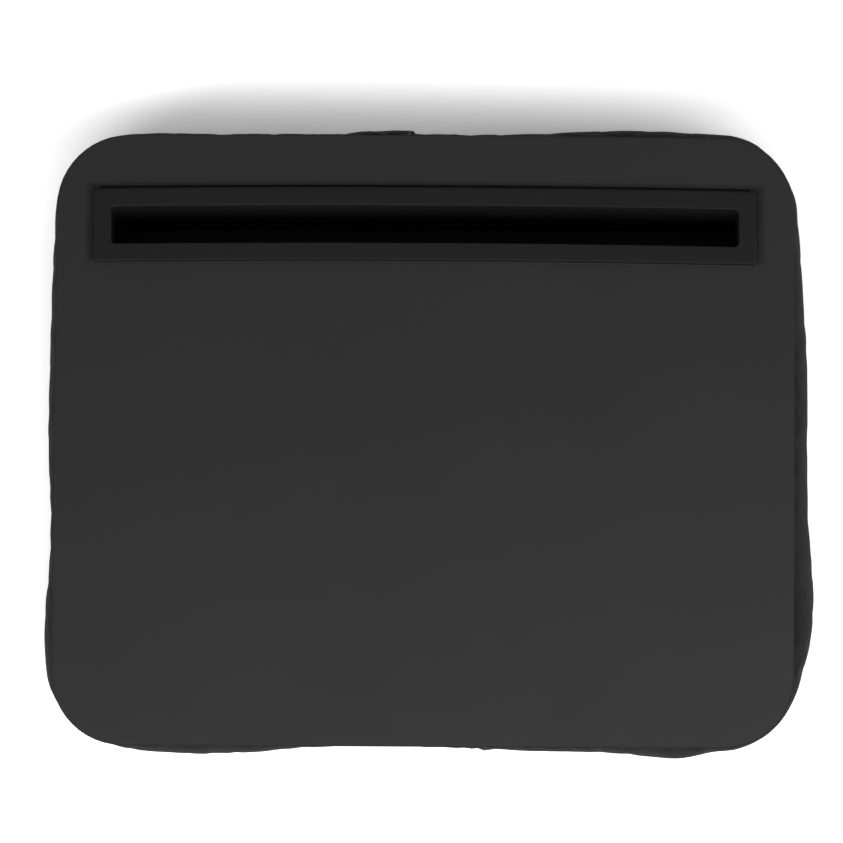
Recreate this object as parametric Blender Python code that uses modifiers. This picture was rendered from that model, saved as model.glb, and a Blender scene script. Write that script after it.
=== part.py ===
"""Tablet holder for the lap: a moulded tray with a slanted tablet slot, on a bead-filled fabric cushion.

Lengths are in metres and angles in degrees. +X is the user's right, +Y points away from the user and +Z is
up. The origin is on the floor, under the middle of the tray.
"""

import math

import bmesh
import bpy
from mathutils import Matrix, Vector

# Gap between two pieces that touch
SEAT_GAP = 0.0003

# Tray: a flat plate with a skirt round it, moulded in one
TRAY_WIDTH = 0.345
TRAY_LENGTH = 0.285
TRAY_CORNER_RADIUS = 0.033
TRAY_HEIGHT = 0.013
TRAY_WALL = 0.0025
TRAY_EDGE_ROUND = 0.0008
TRAY_REAR_BOW = 0.0010
TRAY_END_BOW = 0.0007

# Ribs under the tray
RIB_THICKNESS = 0.0015
RIB_HEIGHT = 0.004
RIB_COLUMNS = 6
RIB_ROWS = 4
POCKET_LEDGE = 0.0005
INSERT_MARGIN = 0.003

# Channel round the tray's underside, which holds the hem of the cushion cover
CHANNEL_WALL = 0.0018
CHANNEL_WALL_HEIGHT = 0.0085

# Slot for the tablet, and the frame round it
SLOT_MOUTH = 0.0174
SLOT_DEPTH = 0.021
SLOT_LEAN = 20.0
SLOT_WALL = 0.002
SLOT_CORNER_RADIUS = 0.002
SLOT_SETBACK = 0.0427
SLOT_BOW = 0.0013
FRAME_END_SETBACK = 0.0171
FRAME_END_BORDER = 0.0087
FRAME_SIDE_BORDER = 0.0087
FRAME_CORNER_RADIUS = 0.0022
FRAME_PROUD = 0.003
FRAME_RECESS = 0.0002
FRAME_SKIN = 0.002
FRAME_LIP = 0.0012
FRAME_EDGE_ROUND = 0.0012
MOUTH_EDGE_ROUND = 0.0006

# Groove in the tray along the frame's rear edge, which shows as a dark line
GROOVE_SHOWN = 0.0012
GROOVE_UNDERCUT = 0.0004
GROOVE_DEPTH = 0.0017
GROOVE_END_SETBACK = 0.0035
GROOVE_CORNER_RADIUS = 0.0005

# Posts, screws and washers that hold the slot insert down at the rear and the ends
POST_RADIUS = 0.002
POST_SPACING = 0.1
PILOT_RADIUS = 0.0013
PILOT_ROOF = 0.0013
SCREW_RADIUS = 0.0010
SCREW_POINT = 0.0008
SCREW_HEAD_RADIUS = 0.002
SCREW_HEAD_HEIGHT = 0.0016
SCREW_HEAD_FLAT = 0.0014
SCREW_RECESS_WIDTH = 0.0006
SCREW_RECESS_SPAN = 0.0022
SCREW_RECESS_DEPTH = 0.0008
WASHER_RADIUS = 0.003
WASHER_THICKNESS = 0.0008

# Tongues that hook the slot insert under the tray at the front
TONGUE_WIDTH = 0.016
TONGUE_REACH = 0.0035
TONGUE_THICKNESS = 0.0016

# Barbed strips, sewn to the cover's hem and pressed into the channel
STRIP_THICKNESS = 0.0013
STRIP_HEIGHT = 0.0078
STRIP_BARB = 0.0005
STRIP_BARB_HEIGHT = 0.002
STRIP_CORNER_GAP = 0.008

# Cushion
CUSHION_HEIGHT = 0.052
CUSHION_WIDEST = 0.027
CUSHION_OVERHANG = 0.0052
CUSHION_BASE_ROUND = 0.024
COVER_THICKNESS = 0.001
HEM_HEIGHT = 0.0075
HEM_EXIT = 0.0007
SEAM_ANGLE = -50.0
REAR_SEAM_X = -0.0048
FRONT_SEAM_X = 0.0266
BAG_THICKNESS = 0.0005
BAG_CLEARANCE = 0.0004
TROUGH_CLEARANCE = 0.0015
TROUGH_CORNER_RADIUS = 0.004

# Where the beads push the cover out: x, y on the tray's edge, how far, and over what distance
SWELLS = (
    (0.172, 0.030, 0.0065, 0.060),
    (0.172, -0.075, 0.0085, 0.045),
    (0.115, -0.142, 0.0048, 0.030),
    (0.050, -0.142, 0.0013, 0.030),
    (-0.104, -0.142, 0.0022, 0.040),
    (-0.172, -0.088, 0.0036, 0.028),
    (-0.172, 0.000, 0.0020, 0.090),
    (-0.120, 0.142, 0.0005, 0.020),
    (-0.018, 0.142, 0.0015, 0.015),
    (0.096, 0.142, 0.0010, 0.045),
)

# Fineness of the curves
OUTLINE_CORNER_STEPS = 12
OUTLINE_SIDE_STEPS = 6
SMALL_CORNER_STEPS = 4
EDGE_ROUND_STEPS = 3
TURNED_STEPS = 16
BOW_STEPS = 12
SIDE_STEPS = 5
CUSHION_CORNER_STEPS = 6
BAND_ANGLES = (90, 68, 46, 24, 0, -22, -38)
BAG_ANGLES = (90, 60, 30, 0, -30, -60, -90)
BASE_STEPS = 4
SHARP_ANGLE = 35
FLAT_ANGLE = 0.05
MERGE_DISTANCE = 0.00001
LEVEL_TOLERANCE = 0.00003

# Colours: red, green and blue, roughness, metallic
TRAY_BLACK = ((0.036, 0.036, 0.036), 0.5, 0.0)
INSERT_BLACK = ((0.018, 0.018, 0.018), 0.38, 0.0)
STRIP_GREY = ((0.12, 0.12, 0.12), 0.45, 0.0)
SCREW_ZINC = ((0.62, 0.62, 0.60), 0.32, 1.0)
COVER_BLACK = ((0.030, 0.030, 0.031), 0.85, 0.0)
BAG_WHITE = ((0.75, 0.75, 0.73), 0.9, 0.0)
BEAD_WHITE = ((0.86, 0.86, 0.86), 0.7, 0.0)

# Levels and widths that follow from the sizes above
OVERCUT = 0.002
TRAY_BOTTOM = CUSHION_HEIGHT
TRAY_TOP = TRAY_BOTTOM + TRAY_HEIGHT
PLATE_UNDERSIDE = TRAY_TOP - TRAY_WALL
RIB_BOTTOM = PLATE_UNDERSIDE - RIB_HEIGHT
CHANNEL_WALL_BOTTOM = PLATE_UNDERSIDE - CHANNEL_WALL_HEIGHT
STRIP_WIDTH = STRIP_THICKNESS + 2 * STRIP_BARB
CHANNEL_WIDTH = COVER_THICKNESS + STRIP_WIDTH + 3 * SEAT_GAP
CORE_INSET = TRAY_WALL + CHANNEL_WIDTH + CHANNEL_WALL
LEAN_TANGENT = math.tan(math.radians(SLOT_LEAN))
LEAN_COSINE = math.cos(math.radians(SLOT_LEAN))
LEAN_SINE = math.sin(math.radians(SLOT_LEAN))
SLOT_Y = TRAY_LENGTH / 2 - SLOT_SETBACK
SLOT_GAP = SLOT_MOUTH * LEAN_COSINE
FRAME_TOP = TRAY_TOP + FRAME_PROUD
FRAME_UNDERSIDE = TRAY_TOP - FRAME_RECESS + SEAT_GAP
FRAME_LENGTH = TRAY_WIDTH - 2 * FRAME_END_SETBACK
SLOT_LENGTH = FRAME_LENGTH - 2 * FRAME_END_BORDER
FRAME_WIDTH = SLOT_MOUTH + 2 * FRAME_SIDE_BORDER
WELL_LENGTH = SLOT_LENGTH + 2 * SLOT_WALL
WELL_HALF_MOUTH = (SLOT_GAP / 2 + SLOT_WALL) / LEAN_COSINE
POST_BOTTOM = PLATE_UNDERSIDE + SEAT_GAP
WASHER_TOP = PLATE_UNDERSIDE - SEAT_GAP
SCREW_SEAT = WASHER_TOP - WASHER_THICKNESS - SEAT_GAP
BAG_TOP = RIB_BOTTOM - SEAT_GAP
BAG_INSET = CORE_INSET + SEAT_GAP
BAG_DEPTH_IN_COVER = COVER_THICKNESS + BAG_CLEARANCE
FILL_DEPTH_IN_COVER = BAG_DEPTH_IN_COVER + BAG_THICKNESS + BAG_CLEARANCE


def clear_scene():
    for old in list(bpy.data.objects):
        bpy.data.objects.remove(old)


def new_collection(name):
    collection = bpy.data.collections.new(name)
    bpy.context.scene.collection.children.link(collection)
    return collection


def new_material(name, look):
    colour, roughness, metallic = look
    material = bpy.data.materials.new(name)
    material.use_nodes = True
    shader = material.node_tree.nodes["Principled BSDF"]
    shader.inputs["Base Color"].default_value = (*colour, 1.0)
    shader.inputs["Roughness"].default_value = roughness
    shader.inputs["Metallic"].default_value = metallic
    return material


def put_in(collection, obj):
    for other in list(obj.users_collection):
        other.objects.unlink(obj)
    collection.objects.link(obj)


def finish_piece(obj, name, material):
    """Names a piece, gives it its material and shades its round faces smooth."""
    obj.name = name
    obj.data.name = name
    obj.data.materials.clear()
    obj.data.materials.append(material)
    obj.data.shade_smooth()
    obj.data.set_sharp_from_angle(angle=math.radians(SHARP_ANGLE))
    put_in(holder, obj)
    return obj


def mesh_object(name, mesh):
    obj = bpy.data.objects.new(name, mesh)
    bpy.context.scene.collection.objects.link(obj)
    return obj


def bmesh_object(name, shape):
    """An object from a bmesh, which is freed."""
    mesh = bpy.data.meshes.new(name)
    shape.to_mesh(mesh)
    shape.free()
    return mesh_object(name, mesh)


def as_tool(obj):
    """Hides a cutter, or a shape that has been fused into another."""
    obj.hide_render = True
    obj.display_type = "WIRE"
    put_in(cutters, obj)


def combine(target, tool, operation):
    modifier = target.modifiers.new(tool.name, "BOOLEAN")
    modifier.operation = operation
    modifier.object = tool
    as_tool(tool)


def cut(target, *tools):
    for tool in tools:
        combine(target, tool, "DIFFERENCE")


def fuse(target, *tools):
    for tool in tools:
        combine(target, tool, "UNION")


def settle(obj):
    """Replaces an object's mesh by the one that its modifiers make."""
    graph = bpy.context.evaluated_depsgraph_get()
    graph.update()
    mesh = bpy.data.meshes.new_from_object(obj.evaluated_get(graph))
    obj.modifiers.clear()
    obj.data = mesh
    return obj


def round_top_edge(obj, level, width):
    """Rounds the edge of a plate's top face, which is first joined into one face."""
    shape = bmesh.new()
    shape.from_mesh(obj.data)
    bmesh.ops.dissolve_limit(
        shape, angle_limit=math.radians(FLAT_ANGLE), verts=shape.verts, edges=shape.edges
    )
    layer = shape.edges.layers.float.new("bevel_weight_edge")
    for edge in shape.edges:
        at_top = min(vertex.co.z for vertex in edge.verts) > level - LEVEL_TOLERANCE
        edge[layer] = 1.0 if at_top else 0.0
    shape.to_mesh(obj.data)
    shape.free()
    modifier = obj.modifiers.new("Rounded edge", "BEVEL")
    modifier.limit_method = "WEIGHT"
    modifier.width = width
    modifier.segments = EDGE_ROUND_STEPS


def rounded_outline(width, length, radius, steps=SMALL_CORNER_STEPS):
    """A rectangle with round corners, anticlockwise."""
    points = []
    for corner, (side_x, side_y) in enumerate(((1, 1), (-1, 1), (-1, -1), (1, -1))):
        centre = Vector((side_x * (width / 2 - radius), side_y * (length / 2 - radius)))
        for step in range(steps + 1):
            angle = math.radians(90 * (corner + step / steps))
            points.append(centre + radius * Vector((math.cos(angle), math.sin(angle))))
    return points


def edge_bow(point):
    """Where a point of the straight-sided plan goes, as the tray's rear and ends are gently bowed out."""
    across, along = 2 * point[0] / TRAY_WIDTH, 2 * point[1] / TRAY_LENGTH
    return Vector(
        (
            point[0] + TRAY_END_BOW * across * (1 - along**2),
            point[1] + TRAY_REAR_BOW * max(along, 0.0) * (1 - across**2),
        )
    )


def tray_outline(inset):
    """The tray's outline, or a line inset from it. Its rear and its ends have steps that follow the bow."""
    straight = rounded_outline(
        TRAY_WIDTH - 2 * inset,
        TRAY_LENGTH - 2 * inset,
        TRAY_CORNER_RADIUS - inset,
        OUTLINE_CORNER_STEPS,
    )
    points = []
    for start, end in zip(straight, straight[1:] + straight[:1]):
        bowed_side = (end - start).length > TRAY_CORNER_RADIUS and max(start.y, end.y) > 0
        pieces = OUTLINE_SIDE_STEPS if bowed_side else 1
        points += [edge_bow(start.lerp(end, piece / pieces)) for piece in range(pieces)]
    return points


def plate(name, outlines, bottom, top, middle=(0.0, 0.0)):
    """A flat plate between two levels. The first outline is its edge, and any other is a hole in it."""
    curve = bpy.data.curves.new(name, "CURVE")
    curve.dimensions = "2D"
    curve.fill_mode = "BOTH"
    curve.extrude = (top - bottom) / 2
    for outline in outlines:
        spline = curve.splines.new("POLY")
        spline.points.add(len(outline) - 1)
        spline.use_cyclic_u = True
        for point, place in zip(spline.points, outline):
            point.co = (place[0] + middle[0], place[1] + middle[1], 0, 1)
    drawn = mesh_object(name, curve)
    drawn.location.z = (top + bottom) / 2
    graph = bpy.context.evaluated_depsgraph_get()
    graph.update()
    mesh = bpy.data.meshes.new_from_object(drawn.evaluated_get(graph))
    mesh.transform(drawn.matrix_world)
    bpy.data.objects.remove(drawn)
    shape = bmesh.new()
    shape.from_mesh(mesh)
    bmesh.ops.remove_doubles(shape, verts=shape.verts, dist=MERGE_DISTANCE)
    bmesh.ops.recalc_face_normals(shape, faces=shape.faces)
    return bmesh_object(name, shape)


def box(name, low, high):
    """A box between two corners."""
    low, high = Vector(low), Vector(high)
    size = high - low
    shape = bmesh.new()
    bmesh.ops.create_cube(shape, size=1)
    bmesh.ops.scale(shape, vec=size, verts=shape.verts)
    bmesh.ops.translate(shape, vec=(low + high) / 2, verts=shape.verts)
    return bmesh_object(name, shape)


def cylinder(name, radius, bottom, top, middle):
    shape = bmesh.new()
    bmesh.ops.create_cone(
        shape,
        cap_ends=True,
        segments=TURNED_STEPS,
        radius1=radius,
        radius2=radius,
        depth=top - bottom,
    )
    bmesh.ops.translate(shape, vec=(*middle, (top + bottom) / 2), verts=shape.verts)
    return bmesh_object(name, shape)


def slot_bow(x):
    """How far the slot's middle stretch lies behind its ends, as it is gently bowed away from the user."""
    return SLOT_BOW * (1 - (2 * x / FRAME_LENGTH) ** 2)


def slot_bowed(point):
    return Vector((point[0], point[1] + slot_bow(point[0])))


def bend(obj, length, along, rule):
    """Bends a straight shape by a rule on plan points, after cutting its long faces into short steps."""
    shape = bmesh.new()
    shape.from_mesh(obj.data)
    along = Vector(along)
    for step in range(1, BOW_STEPS):
        everything = shape.verts[:] + shape.edges[:] + shape.faces[:]
        bmesh.ops.bisect_plane(
            shape,
            geom=everything,
            dist=MERGE_DISTANCE,
            plane_co=along * length * (step / BOW_STEPS - 0.5),
            plane_no=along,
        )
    for vertex in shape.verts:
        vertex.co.xy = rule(vertex.co)
    shape.to_mesh(obj.data)
    shape.free()
    return obj


def bow_slot_piece(obj):
    return bend(obj, FRAME_LENGTH, (1, 0, 0), slot_bowed)


def frame_outline(grow=0.0):
    """The slot frame's outline, made larger all round."""
    outline = rounded_outline(
        FRAME_LENGTH + 2 * grow, FRAME_WIDTH + 2 * grow, FRAME_CORNER_RADIUS + grow
    )
    return [point + Vector((0, SLOT_Y)) for point in outline]


def rear_groove():
    """The cutter of the groove along the frame's rear edge, which runs a little way under it."""
    width = GROOVE_SHOWN + GROOVE_UNDERCUT
    outline = rounded_outline(
        FRAME_LENGTH - 2 * GROOVE_END_SETBACK, width, GROOVE_CORNER_RADIUS
    )
    middle = SLOT_Y + FRAME_WIDTH / 2 + (GROOVE_SHOWN - GROOVE_UNDERCUT) / 2
    return plate("rear groove", [outline], TRAY_TOP - GROOVE_DEPTH, TRAY_TOP + OVERCUT, (0, middle))


def well_wall_y(side, depth):
    """Where the well's outside is at a depth below the frame's top, at the rear (1) or the front (-1)."""
    return SLOT_Y + side * WELL_HALF_MOUTH - depth * LEAN_TANGENT


def window_span():
    """The front and rear edges of the tray's window, which clears the well through the plate's thickness."""
    front = well_wall_y(-1, FRAME_TOP - PLATE_UNDERSIDE) - 2 * SEAT_GAP
    rear = well_wall_y(1, FRAME_PROUD) + 2 * SEAT_GAP
    return front, rear


def post_places():
    """Three posts along the frame's rear border and one at each end, before the slot is bowed."""
    rear_y = (window_span()[1] + SLOT_Y + FRAME_WIDTH / 2) / 2
    end_x = (WELL_LENGTH / 2 + 2 * SEAT_GAP + FRAME_LENGTH / 2) / 2
    places = [(x, rear_y) for x in (-POST_SPACING, 0.0, POST_SPACING)]
    return places + [(-end_x, SLOT_Y), (end_x, SLOT_Y)]


def pocket_cutter():
    """The hollows between the ribs: rows in front of the slot, one wide bay for it, and one row behind."""
    edge_x = TRAY_WIDTH / 2 - CORE_INSET - POCKET_LEDGE
    edge_y = TRAY_LENGTH / 2 - CORE_INSET - POCKET_LEDGE
    bay_front = SLOT_Y - FRAME_WIDTH / 2 - INSERT_MARGIN
    bay_rear = SLOT_Y + FRAME_WIDTH / 2 + slot_bow(0) + INSERT_MARGIN
    row_pitch = (bay_front + edge_y) / RIB_ROWS
    rows = [(-edge_y + row * row_pitch, RIB_COLUMNS) for row in range(RIB_ROWS)]
    rows = [(start, start + row_pitch - RIB_THICKNESS, columns) for start, columns in rows]
    rows += [(bay_front, bay_rear, 1), (bay_rear + RIB_THICKNESS, edge_y, RIB_COLUMNS)]
    shape = bmesh.new()
    for front, rear, columns in rows:
        if rear <= front:
            continue
        pitch = (2 * edge_x + RIB_THICKNESS) / columns
        for column in range(columns):
            left = -edge_x + column * pitch
            size = (pitch - RIB_THICKNESS, rear - front, RIB_HEIGHT + OVERCUT)
            middle = (left + size[0] / 2, (front + rear) / 2, PLATE_UNDERSIDE - size[2] / 2)
            bmesh.ops.create_cube(
                shape, size=1, matrix=Matrix.Translation(middle) @ Matrix.Diagonal((*size, 1))
            )
    pockets = bmesh_object("rib pockets", shape)
    limit = plate(
        "pocket limit",
        [tray_outline(CORE_INSET + POCKET_LEDGE)],
        RIB_BOTTOM - 2 * OVERCUT,
        TRAY_TOP,
    )
    combine(pockets, limit, "INTERSECT")
    return settle(pockets)


def make_tray():
    below = TRAY_BOTTOM - OVERCUT
    tray = plate("tray", [tray_outline(0)], TRAY_BOTTOM, TRAY_TOP)
    round_top_edge(tray, TRAY_TOP, TRAY_EDGE_ROUND)
    channel_inset = TRAY_WALL + CHANNEL_WIDTH
    cut(
        tray,
        plate(
            "hem channel", [tray_outline(TRAY_WALL), tray_outline(channel_inset)], below, PLATE_UNDERSIDE
        ),
        plate("tray core", [tray_outline(CORE_INSET)], below, RIB_BOTTOM),
        plate(
            "above the channel wall",
            [
                tray_outline(channel_inset - CHANNEL_WIDTH / 2),
                tray_outline(CORE_INSET + CHANNEL_WALL),
            ],
            below - OVERCUT,
            CHANNEL_WALL_BOTTOM,
        ),
        pocket_cutter(),
    )
    front, rear = window_span()
    half_length = WELL_LENGTH / 2 + 2 * SEAT_GAP
    cut(
        tray,
        bow_slot_piece(
            plate(
                "frame recess",
                [frame_outline(SEAT_GAP)],
                TRAY_TOP - FRAME_RECESS,
                TRAY_TOP + OVERCUT,
            )
        ),
        bow_slot_piece(rear_groove()),
        bow_slot_piece(
            box(
                "slot window",
                (-half_length, front, RIB_BOTTOM - OVERCUT),
                (half_length, rear, TRAY_TOP + 2 * OVERCUT),
            )
        ),
    )
    for place in post_places():
        hole = POST_RADIUS + SEAT_GAP
        cut(tray, cylinder("post hole", hole, RIB_BOTTOM, TRAY_TOP + OVERCUT, slot_bowed(place)))
    return finish_piece(tray, "tray", tray_plastic)


def slanted_box(name, length, gap, depth, rise, corner_radius=0.0):
    """A box that leans back with the slot. Its floor is depth down the lean, and it stands up by rise."""
    shape = bmesh.new()
    bmesh.ops.create_cube(shape, size=1)
    bmesh.ops.scale(shape, vec=(length, gap, depth + rise), verts=shape.verts)
    bmesh.ops.translate(shape, vec=(0, 0, (rise - depth) / 2), verts=shape.verts)
    if corner_radius:
        upright = [edge for edge in shape.edges if abs(edge.verts[0].co.z - edge.verts[1].co.z) > depth]
        bmesh.ops.bevel(
            shape,
            geom=upright,
            offset=corner_radius,
            segments=SMALL_CORNER_STEPS,
            profile=0.5,
            affect="EDGES",
        )
    lean = Matrix.Rotation(-math.radians(SLOT_LEAN), 4, "X")
    shape.transform(Matrix.Translation((0, SLOT_Y, FRAME_TOP)) @ lean)
    return bmesh_object(name, shape)


def slot_hollow():
    """The space inside the slot: rings of one outline that follow the lean, and widen to round the mouth."""
    outline = rounded_outline(SLOT_LENGTH, SLOT_MOUTH, SLOT_CORNER_RADIUS)
    rings = [ring_at(FRAME_TOP + OVERCUT, MOUTH_EDGE_ROUND)]
    for step in range(EDGE_ROUND_STEPS + 1):
        angle = math.radians(90 * step / EDGE_ROUND_STEPS)
        sunk = MOUTH_EDGE_ROUND * (1 - math.cos(angle))
        rings.append(ring_at(FRAME_TOP - sunk, MOUTH_EDGE_ROUND * (1 - math.sin(angle))))
    floor = []
    for x, y in outline:
        travel = SLOT_DEPTH + y * LEAN_SINE
        floor.append((x, SLOT_Y + y - travel * LEAN_SINE, FRAME_TOP - travel * LEAN_COSINE))
    return loft("slot hollow", rings + [floor], closed=True, cap_first=True, cap_last=True)


def ring_at(level, widen):
    """The slot's outline at a level, widened all round, where the lean brings it."""
    outline = rounded_outline(
        SLOT_LENGTH + 2 * widen, SLOT_MOUTH + 2 * widen, SLOT_CORNER_RADIUS + widen
    )
    middle = SLOT_Y - (FRAME_TOP - level) * LEAN_TANGENT
    return [(x, middle + y, level) for x, y in outline]


def make_slot_insert():
    """The frame, the leaning well under it, its posts and its front tongues, moulded in one."""
    insert = plate("slot insert", [frame_outline()], FRAME_UNDERSIDE, FRAME_TOP)
    round_top_edge(insert, FRAME_TOP, FRAME_EDGE_ROUND)
    foot_rear = well_wall_y(1, FRAME_PROUD)
    foot_front = well_wall_y(-1, FRAME_PROUD) - SEAT_GAP
    well_foot = rounded_outline(WELL_LENGTH + 2 * SEAT_GAP, foot_rear - foot_front, SLOT_WALL)
    well_middle = (foot_rear + foot_front) / 2
    cut(
        insert,
        plate(
            "frame relief",
            [frame_outline(-FRAME_LIP), [point + Vector((0, well_middle)) for point in well_foot]],
            FRAME_UNDERSIDE - OVERCUT,
            FRAME_TOP - FRAME_SKIN,
        ),
    )
    well = slanted_box(
        "well", WELL_LENGTH, SLOT_GAP + 2 * SLOT_WALL, SLOT_DEPTH + SLOT_WALL, SLOT_DEPTH,
        SLOT_CORNER_RADIUS + SLOT_WALL,
    )
    above = box(
        "above the frame",
        (-FRAME_LENGTH, SLOT_Y - 3 * FRAME_WIDTH, FRAME_TOP - FRAME_SKIN / 2),
        (FRAME_LENGTH, SLOT_Y + 3 * FRAME_WIDTH, FRAME_TOP + 3 * SLOT_DEPTH),
    )
    cut(well, above)
    fuse(insert, well)
    tongue_top = PLATE_UNDERSIDE - SEAT_GAP
    tongue_root = well_wall_y(-1, FRAME_TOP - tongue_top)
    for x in (-POST_SPACING, 0.0, POST_SPACING):
        fuse(
            insert,
            box(
                "tongue",
                (x - TONGUE_WIDTH / 2, tongue_root - TONGUE_REACH, tongue_top - TONGUE_THICKNESS),
                (x + TONGUE_WIDTH / 2, tongue_root + SLOT_WALL / 2, tongue_top),
            ),
        )
    for place in post_places():
        fuse(insert, cylinder("post", POST_RADIUS, POST_BOTTOM, FRAME_TOP - FRAME_SKIN / 2, place))
    cut(insert, slot_hollow())
    for place in post_places():
        cut(insert, cylinder("pilot", PILOT_RADIUS, RIB_BOTTOM, FRAME_TOP - PILOT_ROOF, place))
    bow_slot_piece(settle(insert))
    return finish_piece(insert, "slot_insert", insert_plastic)


def turned(name, profile, steps=TURNED_STEPS):
    """A round piece from (radius, height) points, which run down its outer side."""
    mesh = bpy.data.meshes.new(name)
    points = [(radius, 0, height) for radius, height in profile]
    mesh.from_pydata(points, [(n, n + 1) for n in range(len(points) - 1)], [])
    obj = mesh_object(name, mesh)
    modifier = obj.modifiers.new("Turned", "SCREW")
    modifier.steps = steps
    modifier.render_steps = steps
    modifier.use_merge_vertices = True
    modifier.merge_threshold = MERGE_DISTANCE
    return obj


def make_screws():
    """Small pan-head screws, driven up from below through a washer into each post."""
    tip = FRAME_TOP - PILOT_ROOF - SEAT_GAP
    profile = [
        (0, tip),
        (SCREW_RADIUS, tip - SCREW_POINT),
        (SCREW_RADIUS, SCREW_SEAT),
        (SCREW_HEAD_RADIUS, SCREW_SEAT),
        (SCREW_HEAD_RADIUS, SCREW_SEAT - SCREW_HEAD_HEIGHT / 2),
        (SCREW_HEAD_FLAT, SCREW_SEAT - SCREW_HEAD_HEIGHT),
        (0, SCREW_SEAT - SCREW_HEAD_HEIGHT),
    ]
    head_bottom = SCREW_SEAT - SCREW_HEAD_HEIGHT
    for number, place in enumerate(map(slot_bowed, post_places()), 1):
        screw = settle(turned("screw", profile))
        screw.data.transform(Matrix.Translation((*place, 0)))
        for turn in (0, 90):
            blade = box(
                "screw recess",
                (-SCREW_RECESS_SPAN / 2, -SCREW_RECESS_WIDTH / 2, head_bottom - OVERCUT),
                (SCREW_RECESS_SPAN / 2, SCREW_RECESS_WIDTH / 2, head_bottom + SCREW_RECESS_DEPTH),
            )
            blade.data.transform(
                Matrix.Translation((*place, 0)) @ Matrix.Rotation(math.radians(turn), 4, "Z")
            )
            cut(screw, blade)
        finish_piece(screw, f"insert_screw_{number}", screw_metal)


def make_washers():
    bottom = WASHER_TOP - WASHER_THICKNESS
    for number, place in enumerate(map(slot_bowed, post_places()), 1):
        washer = cylinder("washer", WASHER_RADIUS, bottom, WASHER_TOP, place)
        hole = cylinder(
            "washer hole",
            SCREW_RADIUS + SEAT_GAP,
            bottom - OVERCUT,
            WASHER_TOP + OVERCUT,
            place,
        )
        cut(washer, hole)
        finish_piece(washer, f"insert_washer_{number}", screw_metal)


def make_hem_strips():
    """Four barbed strips, one along each straight side of the channel."""
    top = PLATE_UNDERSIDE - SEAT_GAP
    stem, barb = STRIP_THICKNESS / 2, STRIP_THICKNESS / 2 + STRIP_BARB
    section = [(0, top), (-barb, top - STRIP_BARB_HEIGHT), (-stem, top - STRIP_BARB_HEIGHT)]
    section += [(-stem, top - STRIP_HEIGHT), (stem, top - STRIP_HEIGHT)]
    section += [(stem, top - STRIP_BARB_HEIGHT), (barb, top - STRIP_BARB_HEIGHT)]
    centre_inset = TRAY_WALL + COVER_THICKNESS + 2 * SEAT_GAP + STRIP_WIDTH / 2
    straight_x = TRAY_WIDTH - 2 * TRAY_CORNER_RADIUS - 2 * STRIP_CORNER_GAP
    straight_y = TRAY_LENGTH - 2 * TRAY_CORNER_RADIUS - 2 * STRIP_CORNER_GAP
    sides = (
        ("rear", 0, straight_x, TRAY_LENGTH),
        ("left", 90, straight_y, TRAY_WIDTH),
        ("front", 180, straight_x, TRAY_LENGTH),
        ("right", 270, straight_y, TRAY_WIDTH),
    )
    for side, turn, length, across in sides:
        strip = plate("strip", [section], -length / 2, length / 2)
        upright = Matrix(((0, 0, 1, 0), (1, 0, 0, across / 2 - centre_inset), (0, 1, 0, 0), (0, 0, 0, 1)))
        strip.data.transform(Matrix.Rotation(math.radians(turn), 4, "Z") @ upright)
        bend(strip, length, (math.cos(math.radians(turn)), math.sin(math.radians(turn)), 0), edge_bow)
        finish_piece(strip, f"hem_strip_{side}", strip_plastic)


def spread(start, end, steps):
    """Even steps from start towards end, without the end itself."""
    return [start + (end - start) * step / steps for step in range(steps)]


def rim_stations():
    """Points round the tray's edge, clockwise from the cover's rear seam, each with its outward direction.

    Returns the stations and the number of the one at the front seam.
    """
    flat_x = TRAY_WIDTH / 2 - TRAY_CORNER_RADIUS
    flat_y = TRAY_LENGTH / 2 - TRAY_CORNER_RADIUS
    front_y, rear_y = -TRAY_LENGTH / 2, TRAY_LENGTH / 2
    right_x, left_x = TRAY_WIDTH / 2, -TRAY_WIDTH / 2

    def corner(x, y, start):
        found = []
        for angle in spread(start, start - 90, CUSHION_CORNER_STEPS):
            out = Vector((math.cos(math.radians(angle)), math.sin(math.radians(angle))))
            found.append((Vector((x, y)) + TRAY_CORNER_RADIUS * out, out))
        return found

    def side(places, out):
        return [(Vector(place), Vector(out)) for place in places]

    stations = side([(x, rear_y) for x in spread(REAR_SEAM_X, flat_x, SIDE_STEPS)], (0, 1))
    stations += corner(flat_x, flat_y, 90)
    stations += side([(right_x, y) for y in spread(flat_y, -flat_y, 2 * SIDE_STEPS)], (1, 0))
    stations += corner(flat_x, -flat_y, 0)
    stations += side([(x, front_y) for x in spread(flat_x, FRONT_SEAM_X, SIDE_STEPS)], (0, -1))
    front_seam = len(stations)
    stations += side([(x, front_y) for x in spread(FRONT_SEAM_X, -flat_x, SIDE_STEPS)], (0, -1))
    stations += corner(-flat_x, -flat_y, -90)
    stations += side([(left_x, y) for y in spread(-flat_y, flat_y, 2 * SIDE_STEPS)], (-1, 0))
    stations += corner(-flat_x, flat_y, 180)
    stations += side([(x, rear_y) for x in spread(-flat_x, REAR_SEAM_X, SIDE_STEPS)], (0, 1))
    return [(edge_bow(point), out) for point, out in stations], front_seam


def overhang_at(point):
    """How far the cushion stands out past the tray's edge there, at its widest."""
    total = CUSHION_OVERHANG
    for x, y, amount, reach in SWELLS:
        total += amount * math.exp(-((point - Vector((x, y))).length / reach) ** 2)
    return total


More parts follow.
